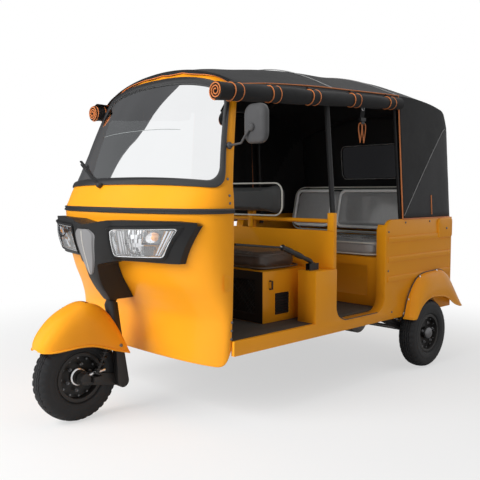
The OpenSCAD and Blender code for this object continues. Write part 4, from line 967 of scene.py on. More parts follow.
class WheelerHood(Piece, bpy.types.Operator):
    """Canvas hood with its hem, seams and piped edges, and the rear window"""
    bl_idname = "wheeler.hood"
    bl_label = "Hood"

    def build(self, scene):
        """Hood as one sheet over the bows, and its back."""
        cloth = scene.wheeler_cloth
        top, ks = Shape(), span(-1, 1, 56)

        def slack(p, side):
            amp = 0.0035 * ruffle(p, 4.0) + 0.0020 * ruffle((p.x, p.y * 0.4, p.z), 11.0, 4.0)
            return p + (Vector((math.copysign(amp, p.x), 0, 0)) if side else Vector((0, 0, amp - 0.002)))

        def bay(y):
            for a, b in ((HOOD_Y, 0.078), (0.078, 0.656)):
                if a < y < b:
                    return math.sin(math.pi * (y - a) / (b - a)) ** 2
            return 0.0
        rows = []
        for r in span(0, 1, 48):
            row = []
            for k in ks:
                p = slack(roof_at(r, k), False)
                row.append(p - Vector((0, 0, cloth.sag * bay(p.y) * (1 - r ** 8) * cosd(85 * k))))
            rows.append(row)
        top.grid(rows, away=(0, 0, 1.0))
        sides = span(1, 0, 18)[:-1]
        rear = []
        steps = 26
        for q in span(0, 1, steps):
            rear.append([slack(rear_at(q, -1, s), True) for s in sides]
                        + [slack(rear_at(q, k, 0), False) for k in ks]
                        + [slack(rear_at(q, 1, s), True) for s in reversed(sides)])
        last = len(rear[0]) - 1

        def behind(i, j):
            share = (min(j, last - 1 - j) + 0.5) / len(sides)
            seam = (SEAM_DOWN[0] - 1 + share) / (SEAM_DOWN[0] - SEAM_DOWN[1])
            return share < 1 and (i + 0.5) / steps > mix(*SEAM_BACK, seam)
        top.grid(rear, away=(0, 0.9, 1.0), skip=behind)
        # Lower rear panels of the quarters, behind the seam, take the lighter copy of the canvas.
        top.grid(rear, 1, away=(0, 0.9, 1.0), skip=lambda i, j: not behind(i, j))
        hood = top.make("hood_canvas", "canvas faded", "canvas", ["hood_roof", "hood_rear"],
                        thick=cloth.sheet, closed=False)
        self.declare(hood, (2.35, 1.95), "stretched", "hood_frame")
        self.back(cloth, rear[-1])
        self.edges(cloth, rear)

    def back(self, cloth, edge):
        """Back of the hood round the rear window, and the window's film with its welt."""
        mid, half, high = 1.250, 0.225, 0.108
        line = [Vector((p.x, p.z - mid)) for p in edge]
        line.append(line[0])

        def reach(a, b):
            best = 0.1
            for p, q in zip(line, line[1:]):
                d = q - p
                cross = a * d.y - b * d.x
                if abs(cross) < 1e-9:
                    continue
                t, s = (p.x * d.y - p.y * d.x) / cross, (p.x * b - p.y * a) / cross
                if t > 0 and -1e-6 <= s <= 1 + 1e-6:
                    best = max(best, t)
            return best
        ring = [(a * half, b * high) for a, b in square_ring(160, 0.14, 0.44)]
        panel, rows = Shape(), []
        for k in [0.0] + span(0.02, 1, 9):
            row = []
            for x, z in ring:
                far = reach(x, z)
                p = Vector((x * mix(1, far, k), 0.0, mid + z * mix(1, far, k)))
                p.y = back_edge(p.z) + 0.003 * ruffle(p, 5.0) * math.sin(math.pi * k) - 0.001
                row.append(p)
            rows.append(row)
        panel.grid(rows, loop_cols=True, away=(0, 0.5, 1.2))
        piece = panel.make("hood_back_panel", "canvas", "canvas", ["hood_back"], thick=cloth.sheet,
                           closed=False)
        self.declare(piece, (1.20, 0.66), "stretched", "hood_frame")
        pane = Shape()
        pane.grid([[Vector((x * s, back_edge(mid + z * s) + 0.0025, mid + z * s)) for x, z in ring]
                   for s in (1.04, 0.75, 0.5, 0.25, 0.0)], loop_cols=True, away=(0, 0.5, 1.2))
        pane.make("window_pane", "film", "window_film", ["rear_window"], closed=False)
        welt = Shape()
        for d in (0.006, -0.006):
            welt.tube([Vector((x * 1.03, back_edge(mid + z) + d, mid + z * 1.06)) for x, z in ring], 0.0032,
                      8,
                      closed=True)
        welt.make("window_welt", "thread", "rubber_trim")

    def edges(self, cloth, rear):
        """Hem over the header, piping and seams."""
        hem, lines = Shape(), Shape()
        top, mid, low, lip = [], [], [], []
        for k in span(-0.99, 0.99, 140):
            a = roof_at(0.025, k, 0.0025)
            b = roof_at(0.0, k, 0.004)
            wide = BODY_HALF - curve(COWL_FORM, 2.0, 1)
            turn = math.copysign(math.degrees(math.asin(min(1.0, abs(b.x) / wide) ** (COWL_N / 2))), b.x)
            wave = abs(math.sin(b.x * 17.0 + 0.6 * math.sin(b.x * 9.0))) + 0.35 * ruffle(b, 9.0)
            c = cowl_at(2.0, turn, 0.009)
            d = cowl_at(2.001 - 0.013 * wave, turn, 0.008 + 0.004 * wave)
            top.append(a)
            mid.append(b)
            low.append(c if c.z < b.z else b - Vector((0, 0.004, 0.006)))
            lip.append(d)
        hem.grid([lip, low, mid, top], away=(0, 0, 1.0))
        piece = hem.make("hood_hem", "canvas", "canvas", thick=cloth.sheet, closed=False,
                         subdivide=1)
        self.declare(piece, (1.25, 0.10), "laid", "windscreen_frame")
        lines.tube([p + Vector((0, -0.001, 0)) for p in lip], 0.0021, 8, 0)
        for s in (-1, 1):
            lines.tube([rear_at(0, s, w) + Vector((s * 0.001, -0.001, 0)) for w in span(0, 1, 30)],
                       cloth.piping_r, 8)
            lines.tube([roof_at(r, s) + Vector((s * 0.002, 0, -0.002)) for r in span(0, 1, 40)],
                       cloth.piping_r * 0.8, 8)
            lines.tube([rear_at(q, s, 1) + Vector((s * 0.002, 0, 0.001)) for q in span(0, 0.98, 20)],
                       cloth.piping_r * 0.8, 8)
            seam = [rear_at(mix(*SEAM_BACK, t), s, mix(*SEAM_DOWN, t), 0.0016) for t in span(0, 1, 24)]
            lines.tube(seam, 0.0022, 6, 1)
            lines.tube([rear_at(0.56, s, w, 0.003) for w in span(0.80, 0.97, 6)], 0.0038, 6)
        for r in (0.54, 0.985):
            lines.tube([roof_at(r, k, 0.0015) for k in span(-1, 1, 60)], 0.0024, 6, 1)
        lines.make("hood_piping", "piping thread", "canvas")


class WheelerCurtains(Piece, bpy.types.Operator):
    """Rolled side curtains with their straps, and the curtain that is let down"""
    bl_idname = "wheeler.curtains"
    bl_label = "Curtains"

    def build(self, scene):
        """Curtains on both sides."""
        cloth = scene.wheeler_cloth
        for side, name, far_y, stops in ((1, "left", QUARTER_Y - 0.060,
                                          (0.0775, 0.2525, 0.455, 0.695, 0.925)),
                                         (-1, "right", DOOR_Y - 0.020, (0.05, 0.50, 0.92))):
            self.roll(cloth, side, name, far_y, stops)
        self.hanger()
        drop = Shape()
        rows = []
        for v in span(0, 1, 40):
            row, end = [], quarter_edge(mix(WAIST_Z - 0.04, 1.56, v)) - 0.004
            for w in span(0, 1, 60):
                y = mix(DOOR_Y + 0.03, end, w)
                u = hood_share(y)
                x = mix(BODY_HALF + 0.008, hood_half(u) - 0.004,
                        v) + 0.006 * (1 - v) * math.sin(w * 30) * v * 2
                row.append(Vector((-x - 0.002 * ruffle((y, v, 0), 5.0), y,
                                   mix(WAIST_Z - 0.04, hood_eave(u) - CANVAS, v))))
            rows.append(row)
        drop.grid(rows, away=(0, 0.3, 1.2))
        piece = drop.make("curtain_drop", "canvas", "canvas", ["side_curtain_right"],
                          thick=cloth.sheet, closed=False)
        self.declare(piece, (0.59, 0.75), "hung", "hood_frame")
        edge = Shape()
        edge.tube([p + Vector((-0.002, 0, 0)) for p in rows[0]], cloth.piping_r, 8)
        for j in (0, -1):
            edge.tube([row[j] + Vector((-0.002, 0, 0)) for row in rows], cloth.piping_r, 8)
        edge.make("curtain_edge", "piping", "canvas")

    def hanger(self):
        """Strap that hangs from the rail, with its ring, buckle and two piped loops."""
        strap = Shape()
        x, y, top = 0.542, 0.345, 1.512
        path = [Vector((x + 0.004 * math.sin(5 * t), y, top - 0.085 * t)) for t in span(0, 1, 8)]
        strap.ribbon(path, [Vector((0, 0.036, 0))] * 9, 0.003, 0)
        ring = [Vector((x + 0.005, y + 0.010 * math.cos(t), top - 0.022 + 0.010 * math.sin(t)))
                for t in around(20)]
        strap.tube(ring, 0.0022, 6, 2, closed=True)
        strap.box((x - 0.006, y - 0.022, top - 0.088), (x + 0.009, y + 0.022, top - 0.070), 3)
        strap.box((x - 0.004, y - 0.014, top - 0.104), (x + 0.007, y + 0.014, top - 0.090), 3)
        for c in (-0.017, 0.017):
            loop = []
            for t in around(28):
                loop.append(Vector((x + 0.003 * math.sin(2 * t),
                                    y + c + 0.012 * math.cos(t) * (1 + 0.25 * math.sin(t)),
                                    top - 0.150 + 0.052 * math.sin(t))))
            strap.tube(loop, 0.0032, 8, 1, closed=True)
        strap.make("curtain_hanger", "canvas piping steel black",
                   "canvas")

    def roll(self, cloth, side, name, far_y, stops):
        """One rolled curtain with its straps and the turns at its ends."""
        roll, bands = Shape(), Shape()
        sides = 28

        def radius(s, t):
            tight = min(abs(s - stop) for stop in stops) * 22
            size = mix(0.0405, 0.033, s) * (1 - 0.10 * math.exp(-tight * tight))
            p = roll_at(side, s, far_y, 0.04, t)
            return size * (1 + 0.05 * ruffle(p, 9.0) + 0.025 * math.sin(3 * t + 16 * s))
        angles = around(sides)
        rows = [[roll_at(side, s, far_y, radius(s, t), t) for t in angles] for s in span(0, 1, 110)]
        roll.grid(rows, loop_cols=True, away=roll_at(side, 0.5, far_y))
        for s, row in ((0.0, rows[0]), (1.0, rows[-1])):
            centre = roll_at(side, s, far_y)
            inner = [centre.lerp(p, 0.25) + Vector((0, 0.006 if s == 0 else -0.006, 0)) for p in row]
            roll.grid([row, inner], loop_cols=True)
            roll.add(inner, [tuple(range(sides))])
            out = Vector((0, -0.002 if s == 0 else 0.002, 0))
            spiral = [roll_at(side, s, far_y, mix(0.007, radius(s, 0) * 0.98, i / 60),
                              0.9 + i / 60 * 5.2 * math.pi) + out
                      for i in range(61)]
            bands.tube(spiral, 0.0030, 6, 1)
        hang = []
        for s in span(0, 1, 60):
            u = max(0.0, hood_share(roll_at(side, s, far_y).y))
            p = roll_at(side, s, far_y, 0.034, math.pi * 0.55)
            hang.append([p, Vector((side * (hood_half(u) - 0.002), p.y, hood_eave(u) - 0.001))])
        roll.grid(hang)
        piece = roll.make("curtain_rolled_" + name, "canvas", "canvas", ["curtain_roll_" + name])
        length = (roll_at(side, 1, far_y) - roll_at(side, 0, far_y)).length
        for stop in stops:
            half = cloth.strap / 2 / length
            for d in (-half, half):
                bands.tube([roll_at(side, stop + d, far_y, radius(stop + d, t) + 0.003, t) for t in angles],
                           0.0028, 6, 1,
                           closed=True)
            bands.grid([[roll_at(side, stop + d, far_y, radius(stop + d, t) + 0.0035, t) for t in angles]
                        for d in span(-half, half, 4)], 0, loop_cols=True, away=roll_at(side, stop, far_y))
            up = [roll_at(side, stop, far_y, 0.040 + 0.012 * w, mix(math.pi * 0.5, math.pi * 0.62, w))
                  for w in span(0, 1, 4)]
            bands.ribbon(up, [Vector((0, cloth.strap * 0.8, 0))] * 5, 0.003, 0)
        bands.make("curtain_straps_" + name, "canvas piping", "canvas", closed=False)


class WheelerSeats(Piece, bpy.types.Operator):
    """Seat cushions and backrests, swollen by a cloth simulation, with seams and piping"""
    bl_idname = "wheeler.seats"
    bl_label = "Seats"

    def build(self, scene):
        """The four cushions."""
        cloth = scene.wheeler_cloth
        pads = (
            ("driver_cushion", "driver_seat", (-0.430, -0.309, 0.650), (0.430, 0.004, 0.745), 0.0, "brown",
             0.07, (), 2),
            ("driver_back_pad", "driver_backrest", (-0.300, -0.034, 0.912), (0.300, 0.0357, 1.097), 0.0,
             "charcoal", 0.05,
             (), 1),
            ("rear_cushion", "rear_seat", (-0.526, 0.514, 0.670), (0.526, 1.087, 0.765), 0.0, "vinyl", 0.08,
             (-0.18, 0.18), 2),
            ("rear_back_pad", "rear_backrest", (-0.526, 0.0, 0.0), (0.526, 0.100, 0.311), -12.0, "vinyl",
             0.07,
             (-0.142,), 1),
        )
        for name, node, low, high, lean, cover, corner, seams, face in pads:
            low, high = Vector(low), Vector(high)
            place = Matrix.Identity(4)
            if lean:
                place = Matrix.Translation((0, 0.971, 0.7805)) @ Matrix.Rotation(math.radians(lean), 4, "X")
            self.pad(scene, cloth, name, node, low, high, place, lean, cover, corner, seams, face)

    def pad(self, scene, cloth, name, node, low, high, place, lean, cover, corner, seams, face):
        """One cushion: an even mesh swollen by air, with sewn channels and piping round its face."""
        inset = cloth.swell * 0.75
        body, mid = Shape(), (low + high) / 2
        half = (high - low) / 2 - Vector((inset, inset, inset))
        flat = [i for i in range(3) if i != face]
        ring = square_ring(120, corner / half[flat[0]],
                           corner / half[flat[1]] if corner < half[flat[1]] else 0.8)

        def outline(scale, level):
            row = []
            for a, b in ring:
                p = mid.copy()
                p[flat[0]] += (half[flat[0]] - (1 - scale)) * a
                p[flat[1]] += (half[flat[1]] - (1 - scale)) * b
                p[face] += half[face] * level
                row.append(p)
            return row
        rows = [outline(1 - 0.014, -1.0), outline(1, -0.7), outline(1, 0.7), outline(1 - 0.014, 1.0)]
        body.grid(rows, loop_cols=True)
        for row in (rows[0], rows[-1]):
            body.add(row, [tuple(range(len(row)))])
        piece = body.make(name, cover, "seat_vinyl", [node], angle=180)
        remesh = piece.modifiers.new("even", "REMESH")
        remesh.mode, remesh.voxel_size = "VOXEL", cloth.voxel
        self.settle(piece)
        start = [v.co.copy() for v in piece.data.vertices]
        swell = piece.modifiers.new("air", "CLOTH")
        swell.settings.quality = 4
        swell.settings.use_pressure = True
        swell.settings.uniform_pressure_force = 4.0
        swell.settings.effector_weights.gravity = 0.0
        swell.collision_settings.use_collision = False
        swell.point_cache.frame_start, swell.point_cache.frame_end = 1, 16
        for f in range(1, 17):
            scene.frame_set(f)
        self.settle(piece)
        scene.frame_set(1)
        sign = -1 if face == 1 else 1
        for v, p in zip(piece.data.vertices, start):
            move = v.co - p
            if move.length > cloth.swell:
                move *= cloth.swell / move.length
            q = p + move - MID
            for i in range(3):
                q[i] = min(max(q[i], low[i] + 0.0008), high[i] - 0.0008)
            deep = max(0.0, sign * (q[face] - mid[face])) / ((high - low)[face] / 2)
            for seam in seams:
                d = abs(q.x - seam)
                channel, ridge = math.exp(-(d / 0.014) ** 2), math.exp(-((d - 0.05) / 0.04) ** 2)
                q[face] -= sign * deep * (0.016 * channel - 0.004 * ridge)
            u = (q[flat[1]] - low[flat[1]]) / (high - low)[flat[1]]
            q[face] -= sign * deep * 0.004 * (2 * u - 1) ** 2 + sign * deep * 0.0025 * ruffle(q, 7.0)
            v.co = place @ q + MID
        fine = piece.modifiers.new("smooth", "SUBSURF")
        fine.levels = fine.render_levels = 1
        piece.data.shade_smooth()
        edge = Shape()
        level = mid[face] + sign * ((high - low)[face] / 2 - 0.014)
        for off in (0.0, -sign * ((high - low)[face] - 0.030))[:1 if cover == "charcoal" else 2]:
            path = []
            for a, b in ring:
                p = mid.copy()
                p[flat[0]] += ((high - low)[flat[0]] / 2 - 0.0055) * a
                p[flat[1]] += ((high - low)[flat[1]] / 2 - 0.0055) * b
                p[face] = level + off
                path.append(place @ p)
            edge.tube(path, 0.0045, 8, closed=True)
        # Raised rims round the rear backrest's two panels, near white: painted highlight.
        for x0, x1 in ((-0.490, -0.178), (-0.105, 0.400)) if lean else ():
            rim = square_ring(64, 0.07 / (x1 - x0), 0.28)
            edge.tube([place @ Vector((mix(x0, x1, (a + 1) / 2), 0.003, mix(0.035, 0.278, (b + 1) / 2)))
                       for a, b in rim],
                      0.011, 10, 1, closed=True)
        # Piping is brown on the driver's cushion and pale elsewhere: pale is the driver backrest's real
        # piping colour, and on the rear cushion and backrest the pale piping is also a painted highlight
        # along their edges.
        edge.make(name + "_piping", ("brown" if cover == "brown" else "pale") + " border",
                  "seat_vinyl")

    def settle(self, piece):
        """Makes the result of a piece's modifiers its mesh."""
        shown = piece.evaluated_get(bpy.context.evaluated_depsgraph_get())
        mesh = bpy.data.meshes.new_from_object(shown)
        piece.modifiers.clear()
        piece.data = mesh


class WheelerWheels(Piece, bpy.types.Operator):
    """Tyres with their tread, wheel nuts, hub caps and valves"""
    bl_idname = "wheeler.wheels"
    bl_label = "Wheels"

    def build(self, scene):
        """The three wheels."""
        self.wheel("front_wheel", "front", FRONT_AXLE, 0)
        for s, name in ((1, "left"), (-1, "right")):
            self.wheel("rear_wheel_" + name, "rear_" + name, Vector((s * WHEEL_X, REAR_AXLE_Y, TYRE_R)), s)

    def wheel(self, body, name, centre, side):
        """One tyre, and the bolts and cap on its rim."""
        form = ((RIM_R - 0.008, 0.37), (RIM_R + 0.001, 0.37), (RIM_R + 0.006, 0.452), (RIM_R + 0.013, 0.478),
                (RIM_R + 0.015, 0.470), (RIM_R + 0.019, 0.482), (RIM_R + 0.030, 0.498),
                (RIM_R + 0.040, 0.500),
                (RIM_R + 0.042, 0.492), (RIM_R + 0.046, 0.496), (TYRE_R - 0.032, 0.488),
                (TYRE_R - 0.022, 0.468),
                (TYRE_R - 0.014, 0.425), (TYRE_R - 0.008, 0.36), (TYRE_R - 0.0045, 0.30))
        tread = [(TYRE_R - 0.0045 * (abs(w) / 0.30) ** 2, w) for w in span(0.28, -0.28, 28)]
        profile = list(form) + tread + [(r, -w) for r, w in reversed(form)]
        tyre, steps = Shape(), 216

        def deep(w, i):
            a = abs(w)
            groove = a < 0.016 or 0.125 < a < 0.155 or 0.235 < a < 0.262
            cut = i % 6 == 0 if a < 0.24 else i % 6 in (3, 4)
            block = 0.155 < a < 0.45 and (i + (0 if w > 0 else 3)) % 6 < (2 if a > 0.262 else 1)
            if groove:
                return 0.0058
            if block and a < 0.43:
                return 0.0042
            return 0.0022 if cut and a < 0.235 else 0.0
        rows = []
        for r, w in profile:
            row = []
            for i, t in enumerate(around(steps)):
                e = r - (deep(w, i) if r > TYRE_R - 0.025 else 0.0)
                row.append(centre + Vector((w * TYRE_W, e * math.cos(t), e * math.sin(t))))
            rows.append(row)
        tyre.grid(rows, loop_cols=True, loop_rows=True)
        node = "rear_tyre_" + name[5:] if side else "front_tyre"
        tyre.make("tyre_" + name, "tyre", "tyre_rubber", [node], body, angle=38)
        bolts = Shape()
        nut_r, rivet_r = 0.060, 0.088
        for s in ((-1, 1) if side == 0 else (side,)):
            axis = Vector((s, 0, 0))
            face = 0.020 if side == 0 else 0.026
            for t in around(6 if side == 0 else 5):
                p = centre + Vector((s * face, nut_r * math.cos(t + 0.3), nut_r * math.sin(t + 0.3)))
                bolts.lathe([(0.009, 0.0), (0.009, 0.008), (0.007, 0.010), (0.0045, 0.010), (0.0045, 0.016),
                             (0.0002, 0.017)], p, axis, 6, 0)
            cap = [(0.036, 0.0), (0.036, 0.012), (0.031, 0.022), (0.018, 0.028), (0.0003, 0.029)]
            if side == 0:
                cap = [(0.040, 0.0), (0.040, 0.004), (0.034, 0.008), (0.024, 0.008), (0.022, 0.002)]
            bolts.lathe(cap, centre + Vector((s * face, 0, 0)), axis, 28, 1 if side == 0 else 0)
            for t in around(12):
                p = centre + Vector((s * face * 0.9, rivet_r * math.cos(t), rivet_r * math.sin(t)))
                bolts.lathe([(0.0055, 0.0), (0.0055, 0.005), (0.0002, 0.006)], p, axis, 6, 0)
        bolts.tube([centre + Vector(((side or 1) * 0.034, 0.094, 0.03)),
                    centre + Vector(((side or 1) * 0.052, 0.086, 0.027))],
                   0.004, 8, 2)
        bolts.make("wheel_bolts_" + name, "dull steel rubber", "bright_steel", body=body)


class WheelerFenders(Piece, bpy.types.Operator):
    """Front and rear fenders with their beads and screws"""
    bl_idname = "wheeler.fenders"
    bl_label = "Fenders"

    def build(self, scene):
        """Fenders over the wheels."""
        front = Shape()
        ds, ks = span(0.0, 0.424, 60), span(-1, 1, 56)
        rows = [[front_fender_at(d, k) for k in ks] for d in ds]

        def crown(i, j):
            p = rows[i][j]
            return abs(p.x) < 0.036 and abs(p.y - (STEM.y - 0.135)) < 0.036 and p.z > 0.42
        front.grid(rows, away=FRONT_AXLE, skip=crown)
        front.make("fender_front", "yellow", "yellow_paint", ["front_fender"], "steer", thick=FENDER_T,
                   bevel=0.001, closed=False)
        trim = Shape()
        for k in (-1, 1):
            trim.tube([front_fender_at(d, k * 0.995, 0.001) for d in span(0.006, 0.42, 50)], 0.0042, 8, 0)
            p = front_fender_at(0.372, k * 0.92, 0.0)
            trim.lathe([(0.009, 0.0), (0.009, 0.003), (0.006, 0.006), (0.0003, 0.006)], p, (k, 0, 0.3), 6, 1)
        trim.make("fender_trim", "yellow dull", "yellow_paint", body="steer")
        for side, name in ((1, "left"), (-1, "right")):
            rear = Shape()
            rear.grid([[rear_fender_at(side, a, v) for v in span(0, 1, 24)] for a in span(0, 1, 60)],
                      away=(side * 0.6, REAR_AXLE_Y + 0.05, 0.25))
            rear.make("fender_rear_" + name, "yellow", "yellow_paint", ["rear_fender_" + name],
                      thick=FENDER_T, closed=False)
            lip = Shape()
            lip.tube([rear_fender_at(side, a, 1, -0.003) for a in span(0.01, 0.99, 60)], 0.0045, 8, 0)
            lip.tube([rear_fender_at(side, a, 0.0) + Vector((side * 0.003, 0, 0.002))
                      for a in span(0.01, 0.99, 60)], 0.003, 8, 1)
            for a in (0.12, 0.35, 0.60, 0.85):
                p = rear_fender_at(side, a, 0.10)
                lip.lathe([(0.007, 0.0), (0.007, 0.003), (0.0003, 0.005)], p, (side, 0, 0.4), 6, 2)
            lip.make("fender_lip_" + name, "yellow rubber steel", "yellow_paint")


class WheelerControls(Piece, bpy.types.Operator):
    """Mirror, hand lever, bar grips and brake arm"""
    bl_idname = "wheeler.controls"
    bl_label = "Controls"

    def build(self, scene):
        """Controls and the mirror."""
        self.mirror()
        self.lever()
        bars = Shape()
        up, back = STEM_AXIS, Vector((0, STEM_AXIS.z, -STEM_AXIS.y))

        def at(x, y, z):
            return STEM + Vector((x, 0, 0)) + back * y + up * z
        for s in (-1, 1):
            a, b = at(s * 0.203, 0.092, 0.3648), at(s * 0.266, 0.186, 0.3592)
            axis = (b - a)
            n = 26
            profile = [(0.0188 if i % 2 else 0.0178, axis.length * i / n) for i in range(n + 1)]
            bars.lathe([(0.015, -0.002), (0.024, -0.001), (0.024, 0.004)] + profile[1:]
                       + [(0.0205, axis.length),
                       (0.0205, axis.length + 0.003), (0.0003, axis.length + 0.004)], a, axis, 20, 0)
            pivot = at(s * 0.19, 0.06, 0.3648)
            reach = [pivot, pivot + back * 0.02 + Vector((s * 0.035, 0, -0.012)),
                     a.lerp(b, 0.5) + Vector((s * 0.030, -0.022, -0.024)),
                     b + Vector((s * 0.026, -0.010, -0.026))]
            bars.tube(reach, [0.008, 0.006, 0.005, 0.006], 8, 1)
        bars.make("bar_grips", "rubber steel", "rubber_trim", body="steer")
        arm = Shape()
        p = FRONT_AXLE + Vector((0.068, 0, 0))
        arm.tube([p, p + Vector((0.004, 0.05, 0.018)), p + Vector((0.002, 0.11, 0.022))],
                 [0.008, 0.007, 0.006], 8, 0)
        arm.lathe([(0.016, -0.006), (0.016, 0.006), (0.009, 0.007), (0.009, 0.013), (0.0002, 0.014)], p,
                  (1, 0, 0), 6, 0)
        arm.make("brake_arm", "steel", "bright_steel", body="steer")

    def mirror(self):
        """Mirror head with a domed back, its glass and its stalk."""
        base = cowl_at(1.515, 83)
        head = Vector((0.734, cowl_at(1.44, 88).y - 0.030, BELT_Z + 0.363))
        shell = Shape()
        ring = square_ring(64, 0.66, 0.50)
        rows = []
        for s, d in ((0.90, 0.013), (0.985, 0.014), (1.0, 0.008), (1.0, -0.001), (0.975, -0.006),
                     (0.91, -0.0105),
                     (0.78, -0.0145), (0.58, -0.0175), (0.35, -0.0195), (0.0, -0.0205)):
            rows.append([head + Vector((0.062 * s * a, d, 0.082 * s * b)) for a, b in ring])
        shell.grid(rows, 0, loop_cols=True)
        shell.add([p + Vector((0, -0.002, 0)) for p in rows[0]], [tuple(range(64))], 1)
        joint = head + Vector((-0.006, -0.022, -0.016))
        shell.lathe([(0.017, 0.006), (0.017, -0.003), (0.012, -0.008), (0.0003, -0.010)], joint, (0, 1, 0),
                    16, 0)
        bend = Vector((head.x - 0.066, head.y - 0.020, head.z - 0.078))
        foot = base + Vector((0.001, 0, 0))
        path = [joint + Vector((0, -0.002, 0)), joint.lerp(bend, 0.5) + Vector((0, -0.004, 0)), bend,
                bend.lerp(foot, 0.5), foot]
        shell.tube(path, 0.0050, 12, 0)
        shell.lathe([(0.016, -0.002), (0.016, 0.004), (0.010, 0.012), (0.0065, 0.014)], foot, (1, 0, 0), 16,
                    0)
        shell.make("mirror_head", "shell chrome", "black_plastic", ["mirror_unit"], angle=50)

    def lever(self):
        """Hand lever with its ratchet, grip and rod."""
        lever = Shape()
        x = 0.540
        a, b = Vector((x, PILLAR_Y + 0.020, PILLAR_Z + 0.050)), Vector((x, PILLAR_Y - 0.190,
                                                                        PILLAR_Z + 0.130))
        lever.tube([Vector((x, PILLAR_Y + 0.060, PILLAR_Z + 0.009)), a, a.lerp(b, 0.35)],
                   [0.013, 0.012, 0.010], 12)
        axis = (b - a) * 0.72
        n = 22
        profile = [(0.001, 0.0), (0.013, 0.0)]
        profile += [((0.0145 if i % 2 else 0.0130) * (1 + 0.06 * math.sin(i * 0.55)),
                     axis.length * (i + 1) / (n + 2)) for i in range(n)]
        profile += [(0.0150, axis.length * 0.97), (0.010, axis.length), (0.0003, axis.length + 0.001)]
        lever.lathe(profile, a.lerp(b, 0.28), axis, 18, 0)
        lever.lathe([(0.005, 0), (0.005, 0.010), (0.0002, 0.011)], b, axis, 10, 1)
        lever.tube([b - Vector((0, -0.010, 0.004)), Vector((x, REAR_EDGE + 0.060, PILLAR_Z + 0.160))], 0.0055,
                   10, 0)
        for s in (-1, 1):
            lever.box((x + s * 0.012 - 0.0015, PILLAR_Y + 0.005, PILLAR_Z + 0.002),
                      (x + s * 0.012 + 0.0015, PILLAR_Y + 0.075, PILLAR_Z + 0.036), 0)
        lever.make("lever_grip", "black steel", "black_paint", ["hand_lever"])


